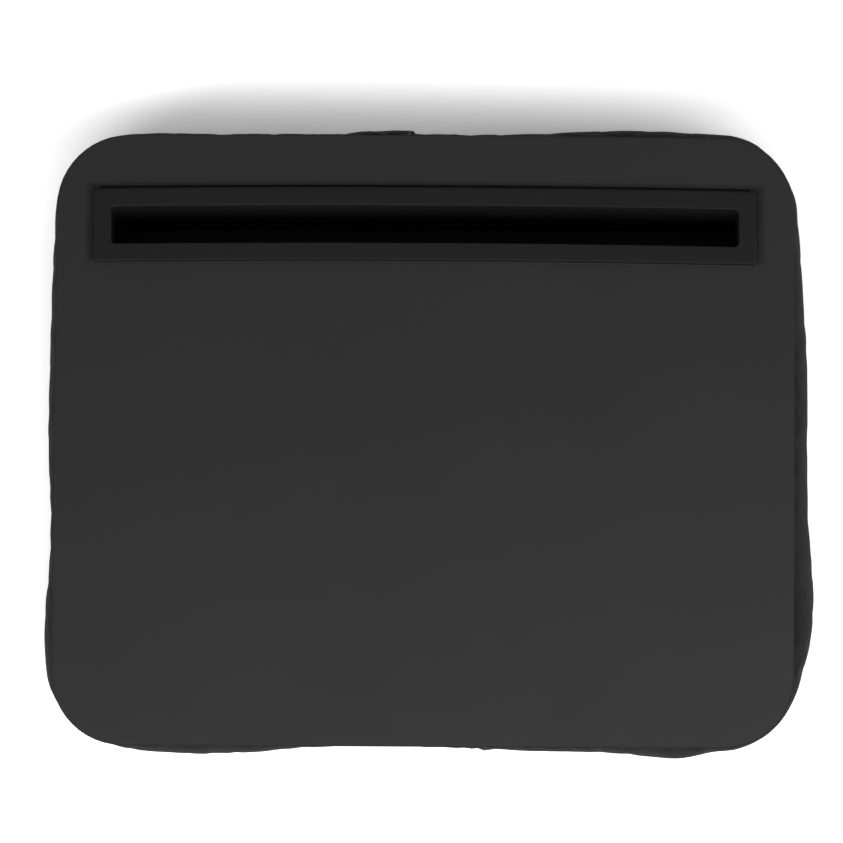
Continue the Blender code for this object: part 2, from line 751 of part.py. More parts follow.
def side_point(station, angle, inset, rim_out, rim_level):
    """A point of the cushion's side: 90 degrees is at the rim, 0 at the widest place and -90 at the floor.

    The upper part is a quarter ellipse out of the rim, and the lower part one down to the floor. Inset is how
    far inside the cover's outer face the surface lies.
    """
    point, out = station
    widest = overhang_at(point)
    across, up = math.cos(math.radians(angle)), math.sin(math.radians(angle))
    if angle >= 0:
        reach = rim_out + (widest - inset - rim_out) * across
        level = CUSHION_WIDEST + (rim_level - CUSHION_WIDEST) * up
    else:
        reach = widest - CUSHION_BASE_ROUND + (CUSHION_BASE_ROUND - inset) * across
        level = CUSHION_WIDEST + (CUSHION_WIDEST - inset) * up
    place = point + reach * out
    return Vector((place.x, place.y, level))


def loft(name, rings, closed, cap_last=False, cap_first=False):
    """A surface through rings of points, with as many points in each. Its faces point to the outside."""
    shape = bmesh.new()
    rows = [[shape.verts.new(point) for point in ring] for ring in rings]
    count = len(rings[0])
    for upper, lower in zip(rows, rows[1:]):
        for n in range(count if closed else count - 1):
            after = (n + 1) % count
            shape.faces.new((upper[n], upper[after], lower[after], lower[n]))
    if cap_first:
        shape.faces.new(rows[0])
    if cap_last:
        shape.faces.new(rows[-1])
    bmesh.ops.recalc_face_normals(shape, faces=shape.faces)
    return bmesh_object(name, shape)


def thicken(obj, thickness):
    """Gives a surface its wall, on the inner side."""
    modifier = obj.modifiers.new("Wall", "SOLIDIFY")
    modifier.thickness = thickness
    modifier.offset = -1
    modifier.use_even_offset = True


def cover_rim():
    """Where the cover turns out under the skirt: how far out, and at what level."""
    return -HEM_EXIT, TRAY_BOTTOM - SEAT_GAP


def make_cover_bands(stations, front_seam):
    """The two halves of the cover's side, which meet at the seams at the rear and the front."""
    rim_out, rim_level = cover_rim()
    hem_out = -TRAY_WALL - SEAT_GAP
    half_gap = SEAT_GAP / 2
    halves = (
        ("cover_band_right", stations[: front_seam + 1]),
        ("cover_band_left", stations[front_seam:] + stations[:1]),
    )
    for name, half in halves:
        first, last = half[0], half[-1]
        ends = (
            (first[0] + (half[1][0] - first[0]).normalized() * half_gap, first[1]),
            (last[0] + (half[-2][0] - last[0]).normalized() * half_gap, last[1]),
        )
        half = [ends[0], *half[1:-1], ends[1]]
        rings = []
        for reach, level in (
            (hem_out, TRAY_BOTTOM + HEM_HEIGHT),
            (hem_out, rim_level + SEAT_GAP),
            (hem_out + SEAT_GAP, rim_level),
        ):
            rings.append([(*(point + reach * out), level) for point, out in half])
        for angle in (*BAND_ANGLES, SEAM_ANGLE):
            rings.append([side_point(station, angle, 0, rim_out, rim_level) for station in half])
        band = loft(name, rings, closed=False)
        face_out(band)
        thicken(band, COVER_THICKNESS)
        finish_piece(band, name, cover_fabric)


def face_out(obj):
    """Turns an open surface's faces away from the middle of the cushion."""
    mesh = obj.data
    middle = Vector((0, 0, CUSHION_WIDEST))
    facing = sum(face.normal.dot(face.center - middle) * face.area for face in mesh.polygons)
    if facing < 0:
        mesh.flip_normals()


def make_cover_base(stations):
    """The panel that the cushion stands on, sewn to the bands at its edge."""
    rim_out, rim_level = cover_rim()
    gap_angle = math.degrees(SEAT_GAP / CUSHION_WIDEST)
    angles = spread(SEAM_ANGLE - gap_angle, -90, BASE_STEPS) + [-90]
    rings = [
        [side_point(station, angle, 0, rim_out, rim_level) for station in stations] for angle in angles
    ]
    base = loft("cover base", rings, closed=True, cap_last=True)
    face_out(base)
    thicken(base, COVER_THICKNESS)
    return finish_piece(base, "cover_base", cover_fabric)


def bag_rings(stations, inset, edge_inset, top):
    """The side of the bead bag, or of the beads: up inside the channel wall, then out into the cover."""
    shoulder = TRAY_BOTTOM - SEAT_GAP - inset
    rings = [[(*(point - edge_inset * out), top) for point, out in stations]]
    for angle in BAG_ANGLES:
        rings.append(
            [side_point(station, angle, inset, -edge_inset, shoulder) for station in stations]
        )
    return rings


def make_bag_bottom(stations):
    """The lower sheet of the inner bag, which holds the beads."""
    rings = bag_rings(stations, BAG_DEPTH_IN_COVER, BAG_INSET, BAG_TOP - BAG_THICKNESS - SEAT_GAP)
    bag = loft("bag bottom", rings, closed=True, cap_last=True)
    face_out(bag)
    thicken(bag, BAG_THICKNESS)
    return finish_piece(bag, "bead_bag_bottom", bag_fabric)


def trough_block(name, grow, top):
    """The space that the well takes up in the top of the cushion, made larger all round."""
    deepest = FRAME_TOP - (SLOT_DEPTH + SLOT_WALL) * LEAN_COSINE
    deepest -= (SLOT_GAP / 2 + SLOT_WALL) * LEAN_TANGENT * LEAN_COSINE
    front = well_wall_y(-1, (SLOT_DEPTH + SLOT_WALL) * LEAN_COSINE) - TROUGH_CLEARANCE - grow
    rear = well_wall_y(1, FRAME_TOP - BAG_TOP) + slot_bow(0) + TROUGH_CLEARANCE + grow
    outline = rounded_outline(
        WELL_LENGTH + 2 * (TROUGH_CLEARANCE + grow),
        rear - front,
        TROUGH_CORNER_RADIUS + grow,
    )
    middle = (0, (front + rear) / 2)
    return plate(name, [outline], deepest - SEAT_GAP - grow, top, middle)


def make_bag_top():
    """The upper sheet of the inner bag, pressed into a trough by the well."""
    outline = tray_outline(BAG_INSET)
    bag = plate("bag top", [outline], BAG_TOP - BAG_THICKNESS, BAG_TOP)
    fuse(bag, trough_block("trough outside", BAG_THICKNESS, BAG_TOP - BAG_THICKNESS / 4))
    cut(bag, trough_block("trough inside", 0, BAG_TOP + OVERCUT))
    return finish_piece(bag, "bead_bag_top", bag_fabric)


def make_bead_fill(stations):
    """The loose beads, as the one block that they pack into."""
    wall = BAG_THICKNESS + BAG_CLEARANCE
    top = BAG_TOP - BAG_THICKNESS - BAG_CLEARANCE
    rings = bag_rings(stations, FILL_DEPTH_IN_COVER, BAG_INSET + wall, top)
    beads = loft("beads", rings, closed=True, cap_first=True, cap_last=True)
    cut(beads, trough_block("trough in the beads", wall, BAG_TOP + OVERCUT))
    return finish_piece(beads, "bead_fill", bead_foam)


clear_scene()
holder = new_collection("Tablet holder")
cutters = new_collection("Cutters")
tray_plastic = new_material("Tray plastic", TRAY_BLACK)
insert_plastic = new_material("Insert plastic", INSERT_BLACK)
strip_plastic = new_material("Strip plastic", STRIP_GREY)
screw_metal = new_material("Screw metal", SCREW_ZINC)
cover_fabric = new_material("Cover fabric", COVER_BLACK)
bag_fabric = new_material("Bag fabric", BAG_WHITE)
bead_foam = new_material("Bead foam", BEAD_WHITE)

make_tray()
make_slot_insert()
make_screws()
make_washers()
make_hem_strips()
rim, seam_number = rim_stations()
make_cover_bands(rim, seam_number)
make_cover_base(rim)
make_bag_bottom(rim)
make_bag_top()
make_bead_fill(rim)
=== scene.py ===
import math

import bpy
import numpy as np
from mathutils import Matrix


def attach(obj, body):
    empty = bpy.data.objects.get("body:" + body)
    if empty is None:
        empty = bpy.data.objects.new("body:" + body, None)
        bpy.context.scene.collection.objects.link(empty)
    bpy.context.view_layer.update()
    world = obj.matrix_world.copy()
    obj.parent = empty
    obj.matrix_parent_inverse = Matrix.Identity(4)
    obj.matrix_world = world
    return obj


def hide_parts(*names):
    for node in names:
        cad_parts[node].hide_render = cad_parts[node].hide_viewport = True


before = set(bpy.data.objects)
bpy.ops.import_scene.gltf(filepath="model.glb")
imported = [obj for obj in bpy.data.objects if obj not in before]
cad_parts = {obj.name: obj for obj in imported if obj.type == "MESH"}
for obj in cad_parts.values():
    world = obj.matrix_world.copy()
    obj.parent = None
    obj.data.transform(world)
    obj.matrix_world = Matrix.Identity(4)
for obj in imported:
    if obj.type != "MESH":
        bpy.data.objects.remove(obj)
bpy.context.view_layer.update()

scene = bpy.context.scene
print("frame loaded:", len(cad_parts), "nodes")


# Camera, floor and light

camera = {
    "place": (0.0001, -0.0305, 1.065),
    "turn": (2.249, 0.059, 0.321),  # degrees, about x, y and z
    "focalLength": 91.5,  # mm
    "sensorWidth": 36.0,
}
floor = {"halfSide": 6.0, "colour": 0.80, "seenColour": 1.45, "paleFrom": 0.45, "paleTo": 0.95}
light = {
    "worldLevel": 0.400,
    "softbox": {
        "place": (0.135, -0.50, 1.23), "aim": (0.03, -0.02, 0.04), "size": (4.60, 0.385), "power": 33.0,
    },
}


def addNode(tree, kind, values=None, **settings):
    made = tree.nodes.new(kind)
    for key, value in settings.items():
        setattr(made, key, value)
    for key, value in (values or {}).items():
        if isinstance(value, bpy.types.NodeSocket):
            tree.links.new(value, made.inputs[key])
        else:
            made.inputs[key].default_value = value
    return made


def grey(value):
    return (value, value, value, 1)


def mixColours(tree, share, dark, pale):
    mix = tree.nodes.new("ShaderNodeMix")
    mix.data_type = "RGBA"
    tree.links.new(share, mix.inputs["Factor"])
    mix.inputs[6].default_value = grey(dark)
    mix.inputs[7].default_value = grey(pale)
    return mix.outputs[2]


def spreadOver(tree, pattern, low, high, start=0.3, end=0.7):
    return addNode(
        tree, "ShaderNodeMapRange",
        {"Value": pattern, "From Min": start, "From Max": end, "To Min": low, "To Max": high},
    ).outputs[0]


def combined(tree, operation, *values):
    return addNode(tree, "ShaderNodeMath", dict(enumerate(values)), operation=operation).outputs[0]


def times(tree, first, second):
    return combined(tree, "MULTIPLY", first, second)


def placeIn(tree, space="Object"):
    return addNode(tree, "ShaderNodeTexCoord").outputs[space]


def newFinish(name):
    material = bpy.data.materials.new(name)
    material.use_nodes = True
    tree = material.node_tree
    tree.nodes.clear()
    return material, tree


def placeCamera():
    data = bpy.data.cameras.new("camera")
    data.lens = camera["focalLength"]
    data.sensor_width = camera["sensorWidth"]
    data.clip_start, data.clip_end = 0.05, 30
    obj = bpy.data.objects.new("camera", data)
    obj.location = camera["place"]
    obj.rotation_euler = [math.radians(angle) for angle in camera["turn"]]
    scene.collection.objects.link(obj)
    scene.camera = obj


def seenDirectly(tree):
    # 1 for a ray from the camera, a mirror or glass, and 0 for the light that falls on things
    path = addNode(tree, "ShaderNodeLightPath")
    mirrored = combined(tree, "MAXIMUM", path.outputs["Is Camera Ray"], path.outputs["Is Glossy Ray"])
    return combined(tree, "MAXIMUM", mirrored, path.outputs["Is Transmission Ray"])


def layFloor():
    # a square that takes the shadow near the part and is plain white further away
    half = floor["halfSide"]
    corners = [(-half, -half, 0), (half, -half, 0), (half, half, 0), (-half, half, 0)]
    mesh = bpy.data.meshes.new("floor")
    mesh.from_pydata(corners, [], [(0, 1, 2, 3)])
    obj = bpy.data.objects.new("floor", mesh)
    scene.collection.objects.link(obj)
    material, tree = newFinish("pale floor")
    seen = seenDirectly(tree)
    away = addNode(tree, "ShaderNodeVectorMath", {0: placeIn(tree)}, operation="LENGTH").outputs["Value"]
    pale = times(tree, seen, spreadOver(tree, away, 0, 1, floor["paleFrom"], floor["paleTo"]))
    colour = mixColours(tree, seen, floor["colour"], floor["seenColour"])
    card = addNode(tree, "ShaderNodeBsdfDiffuse", {"Color": colour})
    white = addNode(tree, "ShaderNodeEmission", {"Color": (1, 1, 1, 1), "Strength": 1.0})
    both = addNode(tree, "ShaderNodeMixShader", {0: pale, 1: card.outputs[0], 2: white.outputs[0]})
    addNode(tree, "ShaderNodeOutputMaterial", {"Surface": both.outputs[0]})
    mesh.materials.append(material)


def hangLamp(name, lamp):
    # turned by its tilt from straight down and by its heading, so that it faces its aim
    data = bpy.data.lights.new(name, "AREA")
    data.shape = "RECTANGLE"
    data.size, data.size_y = lamp["size"]
    data.energy = lamp["power"]
    obj = bpy.data.objects.new(name, data)
    obj.location = lamp["place"]
    x, y, z = np.subtract(lamp["place"], lamp["aim"])
    obj.rotation_euler = (math.atan2(math.hypot(x, y), z), 0, math.atan2(x, -y))
    scene.collection.objects.link(obj)


def setWorld():
    # worldLevel for the light that it gives, and plain white where it is seen
    world = bpy.data.worlds.new("studio")
    world.use_nodes = True
    tree = world.node_tree
    tree.nodes.clear()
    extra = times(tree, seenDirectly(tree), 1 - light["worldLevel"])
    level = combined(tree, "ADD", extra, light["worldLevel"])
    sky = addNode(tree, "ShaderNodeBackground", {"Color": (1, 1, 1, 1), "Strength": level})
    addNode(tree, "ShaderNodeOutputWorld", {"Surface": sky.outputs[0]})
    scene.world = world


placeCamera()
layFloor()
hangLamp("softbox", light["softbox"])
setWorld()
scene.view_settings.view_transform = "Standard"
print("camera, floor and light placed")


# Finishes: each dictionary holds what a user would change

trayFinish = {
    "colour": 0.0133, "colourDrift": 0.0006, "roughness": 0.46, "roughnessDrift": 0.02,
    "cloud": 0.06, "grain": 0.0006, "grainDepth": 0.000012, "specular": 0.13,
    # painted shade in the groove behind the slot's frame: half its length, its y range, its mouth and floor,
    # and how dark the painted shade goes
    "dim": {"x": 0.158, "y": (0.110, 0.125), "mouth": 0.06485, "dark": 0.06425, "shade": 0.03},
    # painted shadow of the raised frame on the tray's face round it: where the frame ends, and how far the
    # shadow reaches
    "around": {"end": 0.1556, "endReach": 0.0042, "rear": 0.1182, "rearReach": 0.0027, "front": 0.0824,
               "frontReach": 0.004, "bow": 0.0013, "shade": 0.04},
    # painted highlight on the step before the frame, lightening its shaded gap
    "paintedHighlight": {"x": 0.157, "y": (0.0815, 0.0850), "low": 0.06490, "high": 0.06500, "gain": 2.2},
    # the rounded edge is rougher and has painted shade in place of its highlight: its levels, how dark and
    # how much rougher it is, and the place of the frame, which is left out
    "edge": {"foot": 0.0640, "full": 0.06470, "none": 0.06497, "shade": 0.50, "dull": 0.40,
             "x": 0.165, "y": (0.075, 0.126)},
}
insertFinish = {
    "colour": 0.0085, "colourDrift": 0.0005, "roughness": 0.42, "roughnessDrift": 0.03,
    "cloud": 0.06, "grain": 0.0004, "grainDepth": 0.000005, "specular": 0.07,
    # painted shade in the slot's well, darker from its mouth down, in the same terms
    "dim": {"x": 0.160, "y": (0.070, 0.125), "mouth": 0.0668, "dark": 0.0550, "shade": 0.02},
    # painted highlight on the frame's front edge, like the step's
    "paintedHighlight": {"x": 0.157, "y": (0.0800, 0.0866), "low": 0.0656, "high": 0.0665, "gain": 3.4},
}
coverFinish = {
    "dark": 0.0095, "pale": 0.0330, "thread": 0.00058, "threadDepth": 0.00012, "gapShade": 0.6,
    "roughness": (0.79, 0.95), "sheen": 0.02, "specular": 0.07,
    "slub": 0.0021, "slubStretch": 2.5, "slubDepth": 0.000084, "cloud": 0.03,
    "mottleFrom": 0.45, "mottleTo": 1.15, "mottle": (0.22, 0.84),  # the slubs' share of dark and pale
    "rearShadeFrom": 0.105, "rearShadeTo": 0.140,  # painted shade: towards the rear the cloth is darker, between these y
}
threadFinish = {
    "dark": 0.012, "pale": 0.035, "twist": 0.0007, "waveBand": 0.314, "wobble": 0.6, "plyDepth": 0.00006,
    "fuzz": 0.0004, "roughness": (0.45, 0.65), "sheen": 0.2,
}
bagFinish = {
    "dark": 0.58, "pale": 0.74, "fibre": 0.0008, "fibreDepth": 0.00004, "roughness": (0.78, 0.88),
    "sheen": 0.15, "dot": 0.0022, "dotDepth": 0.00010, "dotFrom": 0.18, "dotTo": 0.34, "dotScatter": 0.15,
}
beadFinish = {
    "dark": 0.70, "pale": 0.88, "bead": 0.0024, "beadDepth": 0.0007, "gapFrom": 0.75, "facet": 0.0004,
    "facetDepth": 0.00003, "roughness": (0.52, 0.62), "glow": 0.1, "glowDepth": 0.001,
}
stripFinish = {
    "dark": 0.085, "pale": 0.13, "line": 0.0009, "lineStretch": 30, "lineDepth": 0.00002, "mottle": 0.012,
    "roughness": (0.34, 0.52),
}
screwFinish = {
    "dark": 0.46, "pale": 0.66, "cloud": 0.0015, "roughness": (0.28, 0.42),
    "scratch": 0.0005, "scratchStretch": 9, "scratchDepth": 0.00001,
}


def noiseAt(tree, coordinates, size, detail=2.0, stretch=None, distortion=0.0):
    # cloudy pattern whose patches are about size across, longer along an axis where stretch is above 1
    if stretch:
        scale = [1 / amount for amount in stretch]
        coordinates = addNode(tree, "ShaderNodeMapping", {"Vector": coordinates, "Scale": scale}).outputs[0]
    return addNode(
        tree, "ShaderNodeTexNoise",
        {"Vector": coordinates, "Scale": 1 / size, "Detail": detail, "Distortion": distortion},
    ).outputs["Fac"]


def bumped(tree, height, depth, under=None):
    values = {"Height": height, "Distance": depth, "Strength": 1.0}
    if under is not None:
        values["Normal"] = under
    return addNode(tree, "ShaderNodeBump", values).outputs[0]


def closeFinish(tree, values):
    shader = addNode(tree, "ShaderNodeBsdfPrincipled", values)
    addNode(tree, "ShaderNodeOutputMaterial", {"Surface": shader.outputs[0]})


def insideBand(tree, axes, band):
    # 1 between the band's two y and within its x of the middle, and 0 elsewhere
    x, y = axes[:2]
    along = combined(tree, "LESS_THAN", combined(tree, "ABSOLUTE", x), band["x"])
    behind = combined(tree, "GREATER_THAN", y, band["y"][0])
    before = combined(tree, "LESS_THAN", y, band["y"][1])
    return times(tree, along, times(tree, behind, before))


def paintedHollowShade(tree, axes, hollow):
    # painted shade: 1 outside the hollow's box, and inside it falling to its shade from its mouth down
    depth = spreadOver(tree, axes[2], 1.0 - hollow["shade"], 0.0, hollow["dark"], hollow["mouth"])
    return combined(tree, "SUBTRACT", 1.0, times(tree, insideBand(tree, axes, hollow), depth))


def paintedFrameShadow(tree, axes, frameEdge):
    # painted shadow of the frame: 1 away from it, falling to its shade at the frame's ends, front and rear,
    # which are bowed:
    # straight = y - bow (1 - (x / end)^2)
    x, y = axes[:2]
    end, rear, front = frameEdge["end"], frameEdge["rear"], frameEdge["front"]
    bend = times(tree, times(tree, x, x), frameEdge["bow"] / end ** 2)
    straight = combined(tree, "ADD", combined(tree, "SUBTRACT", y, frameEdge["bow"]), bend)
    aside = spreadOver(tree, combined(tree, "ABSOLUTE", x), 0.0, 1.0, end, end + frameEdge["endReach"])
    behind = spreadOver(tree, straight, 0.0, 1.0, rear, rear + frameEdge["rearReach"])
    before = spreadOver(tree, straight, 1.0, 0.0, front, front + frameEdge["frontReach"])
    away = combined(tree, "MAXIMUM", combined(tree, "MAXIMUM", aside, behind), before)
    return spreadOver(tree, away, frameEdge["shade"], 1.0, 0.0, 1.0)


def paintedHighlightGain(tree, axes, paintedHighlight):
    # painted highlight: 1, and 1 + gain low down in the band that the part's painted highlight covers
    low = spreadOver(tree, axes[2], paintedHighlight["gain"], 0.0, paintedHighlight["low"], paintedHighlight["high"])
    return combined(tree, "ADD", 1.0, times(tree, low, insideBand(tree, axes, paintedHighlight)))


def roundedEdge(tree, axes, edge):
    # 1 on the rounded edge round the face, fading up to the flat, and 0 below it and by the frame
    upper = spreadOver(tree, axes[2], 1.0, 0.0, edge["full"], edge["none"])
    turned = times(tree, upper, combined(tree, "GREATER_THAN", axes[2], edge["foot"]))
    return times(tree, turned, combined(tree, "SUBTRACT", 1.0, insideBand(tree, axes, edge)))


def mouldedPlastic(name, finish):
    # spark-eroded grain, a slow drift of tone and shine, painted shade in the part's hollow, round the frame
    # and on its rounded edge, and a painted highlight at the frame's front edge, where the finish asks for
    # them
    material, tree = newFinish(name)
    place = placeIn(tree)
    axes = addNode(tree, "ShaderNodeSeparateXYZ", {"Vector": place}).outputs[:]
    cloud = noiseAt(tree, place, finish["cloud"], detail=3)
    fine = noiseAt(tree, place, finish["grain"], detail=3)
    colour, drift = finish["colour"], finish["colourDrift"]
    shade = spreadOver(tree, cloud, colour - drift, colour + drift)
    # painted shade in the groove or the well
    shade = times(tree, shade, paintedHollowShade(tree, axes, finish["dim"]))
    # painted highlight on the step and the frame's front edge
    shade = times(tree, shade, paintedHighlightGain(tree, axes, finish["paintedHighlight"]))
    rough, drift = finish["roughness"], finish["roughnessDrift"]
    shine = spreadOver(tree, cloud, rough + drift, rough - drift)
    # painted shadow round the frame on the tray's face
    if "around" in finish:
        shade = times(tree, shade, paintedFrameShadow(tree, axes, finish["around"]))
    if "edge" in finish:
        edge = finish["edge"]
        turned = roundedEdge(tree, axes, edge)
        # painted shade on the rounded edge, which is also made rougher
        shade = times(tree, shade, spreadOver(tree, turned, 1.0, edge["shade"], 0.0, 1.0))
        shine = combined(tree, "ADD", shine, times(tree, turned, edge["dull"]))
    closeFinish(tree, {
        "Base Color": mixColours(tree, shade, 0.0, 1.0), "Roughness": shine, "IOR": 1.5,
        "Specular IOR Level": finish["specular"],
        "Normal": bumped(tree, fine, finish["grainDepth"]),
    })
    return material


def crossingThread(tree, along, thread):
    # how high a thread stands across its width: sin^2(pi along / thread)
    wave = combined(tree, "SINE", times(tree, along, math.pi / thread))
    return times(tree, wave, wave)


def wovenCloth(name, finish):
    # plain weave on the cloth's own UV in metres: warp and weft swap places from one square to the next
    material, tree = newFinish(name)
    where = placeIn(tree, "UV")
    parts = addNode(tree, "ShaderNodeSeparateXYZ", {"Vector": where}).outputs
    warp = crossingThread(tree, parts[0], finish["thread"])
    weft = crossingThread(tree, parts[1], finish["thread"])
    checks = {"Vector": where, "Scale": 1 / finish["thread"]}
    squares = addNode(tree, "ShaderNodeTexChecker", checks).outputs["Fac"]
    under = times(tree, combined(tree, "SUBTRACT", 1.0, squares), weft)
    weave = combined(tree, "ADD", times(tree, squares, warp), under)
    slub = noiseAt(tree, where, finish["slub"], detail=4, stretch=(finish["slubStretch"], 1, 1))
    cloud = noiseAt(tree, where, finish["cloud"], detail=2)
    # painted shade in the gaps between the threads
    gaps = spreadOver(tree, weave, finish["gapShade"], 1.0, 0, 1)
    lit = times(tree, combined(tree, "ADD", slub, cloud), gaps)
    lit = spreadOver(tree, lit, *finish["mottle"], finish["mottleFrom"], finish["mottleTo"])
    # painted shade: the cloth darkens towards the rear
    y = addNode(tree, "ShaderNodeSeparateXYZ", {"Vector": placeIn(tree)}).outputs["Y"]
    lit = times(tree, lit, spreadOver(tree, y, 1, 0, finish["rearShadeFrom"], finish["rearShadeTo"]))
    closeFinish(tree, {
        "Base Color": mixColours(tree, lit, finish["dark"], finish["pale"]),
        "Roughness": spreadOver(tree, slub, *finish["roughness"]), "Specular IOR Level": finish["specular"],
        "Sheen Weight": finish["sheen"], "Sheen Roughness": 0.45, "Sheen Tint": grey(0.7),
        "Normal": bumped(tree, weave, finish["threadDepth"], bumped(tree, slub, finish["slubDepth"])),
    })
    return material


def sewingThread(name, finish):
    # two plies: slanting dark lines round the thread, painted shade in the grooves between the plies, on its
    # own UV in metres
    material, tree = newFinish(name)
    where = placeIn(tree, "UV")
    slant = addNode(
        tree, "ShaderNodeTexWave",
        {"Vector": where, "Scale": finish["waveBand"] / finish["twist"], "Distortion": finish["wobble"]},
        wave_type="BANDS", bands_direction="DIAGONAL",
    ).outputs["Fac"]
    fuzz = noiseAt(tree, where, finish["fuzz"])
    closeFinish(tree, {
        "Base Color": mixColours(tree, slant, finish["dark"], finish["pale"]),
        "Roughness": spreadOver(tree, fuzz, *finish["roughness"]),
        "Sheen Weight": finish["sheen"], "Normal": bumped(tree, slant, finish["plyDepth"]),
    })
    return material


def spunBag(name, finish):
    # non-woven sheet: matted fibres, with rows of small heat-sealed dimples
    material, tree = newFinish(name)
    place = placeIn(tree)
    fibres = noiseAt(tree, place, finish["fibre"], detail=6, stretch=(3, 1, 1), distortion=1.2)
    dots = addNode(
        tree, "ShaderNodeTexVoronoi",
        {"Vector": place, "Scale": 1 / finish["dot"], "Randomness": finish["dotScatter"]},
    ).outputs["Distance"]
    dimple = spreadOver(tree, dots, 0.0, 1.0, finish["dotFrom"], finish["dotTo"])
    matted = spreadOver(tree, times(tree, fibres, dimple), 0, 1, 0.1, 0.7)
    closeFinish(tree, {
        "Base Color": mixColours(tree, matted, finish["dark"], finish["pale"]),
        "Roughness": spreadOver(tree, fibres, *finish["roughness"]), "Sheen Weight": finish["sheen"],
        "Normal": bumped(tree, dimple, finish["dotDepth"], bumped(tree, fibres, finish["fibreDepth"])),
    })
    return material


def foamBeads(name, finish):
    # packed round beads: a domed cell for each, with painted shade in the gaps between them, and tiny facets
    # from the mould
    material, tree = newFinish(name)
    place = placeIn(tree)
    cells, facets = (
        addNode(tree, "ShaderNodeTexVoronoi", {"Vector": place, "Scale": 1 / finish[size]}).outputs[0]
        for size in ("bead", "facet")
    )
    dome = spreadOver(tree, cells, 1.0, 0.0, 0.0, finish["gapFrom"])
    closeFinish(tree, {
        "Base Color": mixColours(tree, dome, finish["dark"], finish["pale"]),
        "Roughness": spreadOver(tree, facets, *finish["roughness"], 0, 1),
        "Subsurface Weight": finish["glow"], "Subsurface Scale": finish["glowDepth"],
        "Normal": bumped(tree, dome, finish["beadDepth"], bumped(tree, facets, finish["facetDepth"])),
    })
    return material


def extrudedStrip(name, finish):
    # fine die lines along the strip, in a slightly mottled grey
    material, tree = newFinish(name)
    place, stretch = placeIn(tree), finish["lineStretch"]
    lines = noiseAt(tree, place, finish["line"], detail=2, stretch=(stretch, stretch, 1))
    mottle = noiseAt(tree, place, finish["mottle"], detail=4)
    closeFinish(tree, {
        "Base Color": mixColours(tree, spreadOver(tree, mottle, 0, 1), finish["dark"], finish["pale"]),
        "Roughness": spreadOver(tree, lines, *finish["roughness"]),
        "Normal": bumped(tree, lines, finish["lineDepth"]),
    })
    return material


def zincPlate(name, finish):
    # barrel-plated zinc: cloudy brightness, with short random handling scratches
    material, tree = newFinish(name)
    place = placeIn(tree)
    cloud = noiseAt(tree, place, finish["cloud"], detail=4)
    scratch = noiseAt(
        tree, place, finish["scratch"], detail=3, stretch=(1, finish["scratchStretch"], 1), distortion=0.8
    )
    closeFinish(tree, {
        "Base Color": mixColours(tree, spreadOver(tree, cloud, 0, 1), finish["dark"], finish["pale"]),
        "Roughness": spreadOver(tree, cloud, *finish["roughness"]), "Metallic": 1.0,
        "Normal": bumped(tree, scratch, finish["scratchDepth"]),
    })
    return material


trayPlastic = mouldedPlastic("satin tray plastic", trayFinish)
insertPlastic = mouldedPlastic("smooth insert plastic", insertFinish)
coverCloth = wovenCloth("black cover cloth", coverFinish)
coverThread = sewingThread("black sewing thread", threadFinish)
bagCloth = spunBag("spun bag cloth", bagFinish)
beadFoam = foamBeads("white foam beads", beadFinish)
stripPlastic = extrudedStrip("grey strip plastic", stripFinish)
screwZinc = zincPlate("zinc plate", screwFinish)
print("finishes made")


# Moulded parts and fasteners keep their CAD meshes, with their shading smoothed over the roundings

shading = {"sharpFrom": 32.0, "mergeWithin": 1e-6}


def shadeGroup():
    # merges the facets' doubled corners, smooths all and keeps the edges sharper than sharpFrom
    group = bpy.data.node_groups.new("shade by angle", "GeometryNodeTree")
    group.interface.new_socket("Geometry", in_out="INPUT", socket_type="NodeSocketGeometry")
    group.interface.new_socket("Geometry", in_out="OUTPUT", socket_type="NodeSocketGeometry")
    start = addNode(group, "NodeGroupInput").outputs[0]
    merging = {"Geometry": start, "Distance": shading["mergeWithin"]}
    joined = addNode(group, "GeometryNodeMergeByDistance", merging).outputs[0]
    everywhere = {"Geometry": joined, "Shade Smooth": True}
    smooth = addNode(group, "GeometryNodeSetShadeSmooth", everywhere).outputs[0]
    angle = addNode(group, "GeometryNodeInputMeshEdgeAngle").outputs["Unsigned Angle"]
    limits = {0: angle, 1: math.radians(shading["sharpFrom"])}
    sharp = addNode(group, "FunctionNodeCompare", limits, operation="GREATER_THAN").outputs[0]
    creases = {"Geometry": smooth, "Selection": sharp, "Shade Smooth": False}
    creased = addNode(group, "GeometryNodeSetShadeSmooth", creases, domain="EDGE").outputs[0]
    addNode(group, "NodeGroupOutput", {0: creased})
    return group


shadeByAngle = shadeGroup()


def dressNode(name, material):
    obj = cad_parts[name]
    obj.data.materials.clear()
    obj.data.materials.append(material)
    obj.modifiers.new("shade by angle", "NODES").node_group = shadeByAngle
    weighted = obj.modifiers.new("even normals", "WEIGHTED_NORMAL")
    weighted.keep_sharp = True


dressNode("tray", trayPlastic)
dressNode("slot_insert", insertPlastic)
for side in ("front", "rear", "left", "right"):
    dressNode(f"hem_strip_{side}", stripPlastic)
for number in range(1, 6):
    dressNode(f"insert_screw_{number}", screwZinc)
    dressNode(f"insert_washer_{number}", screwZinc)
print("moulded parts and fasteners dressed")


# The cushion's shape, the same in the cover, the bag and the beads

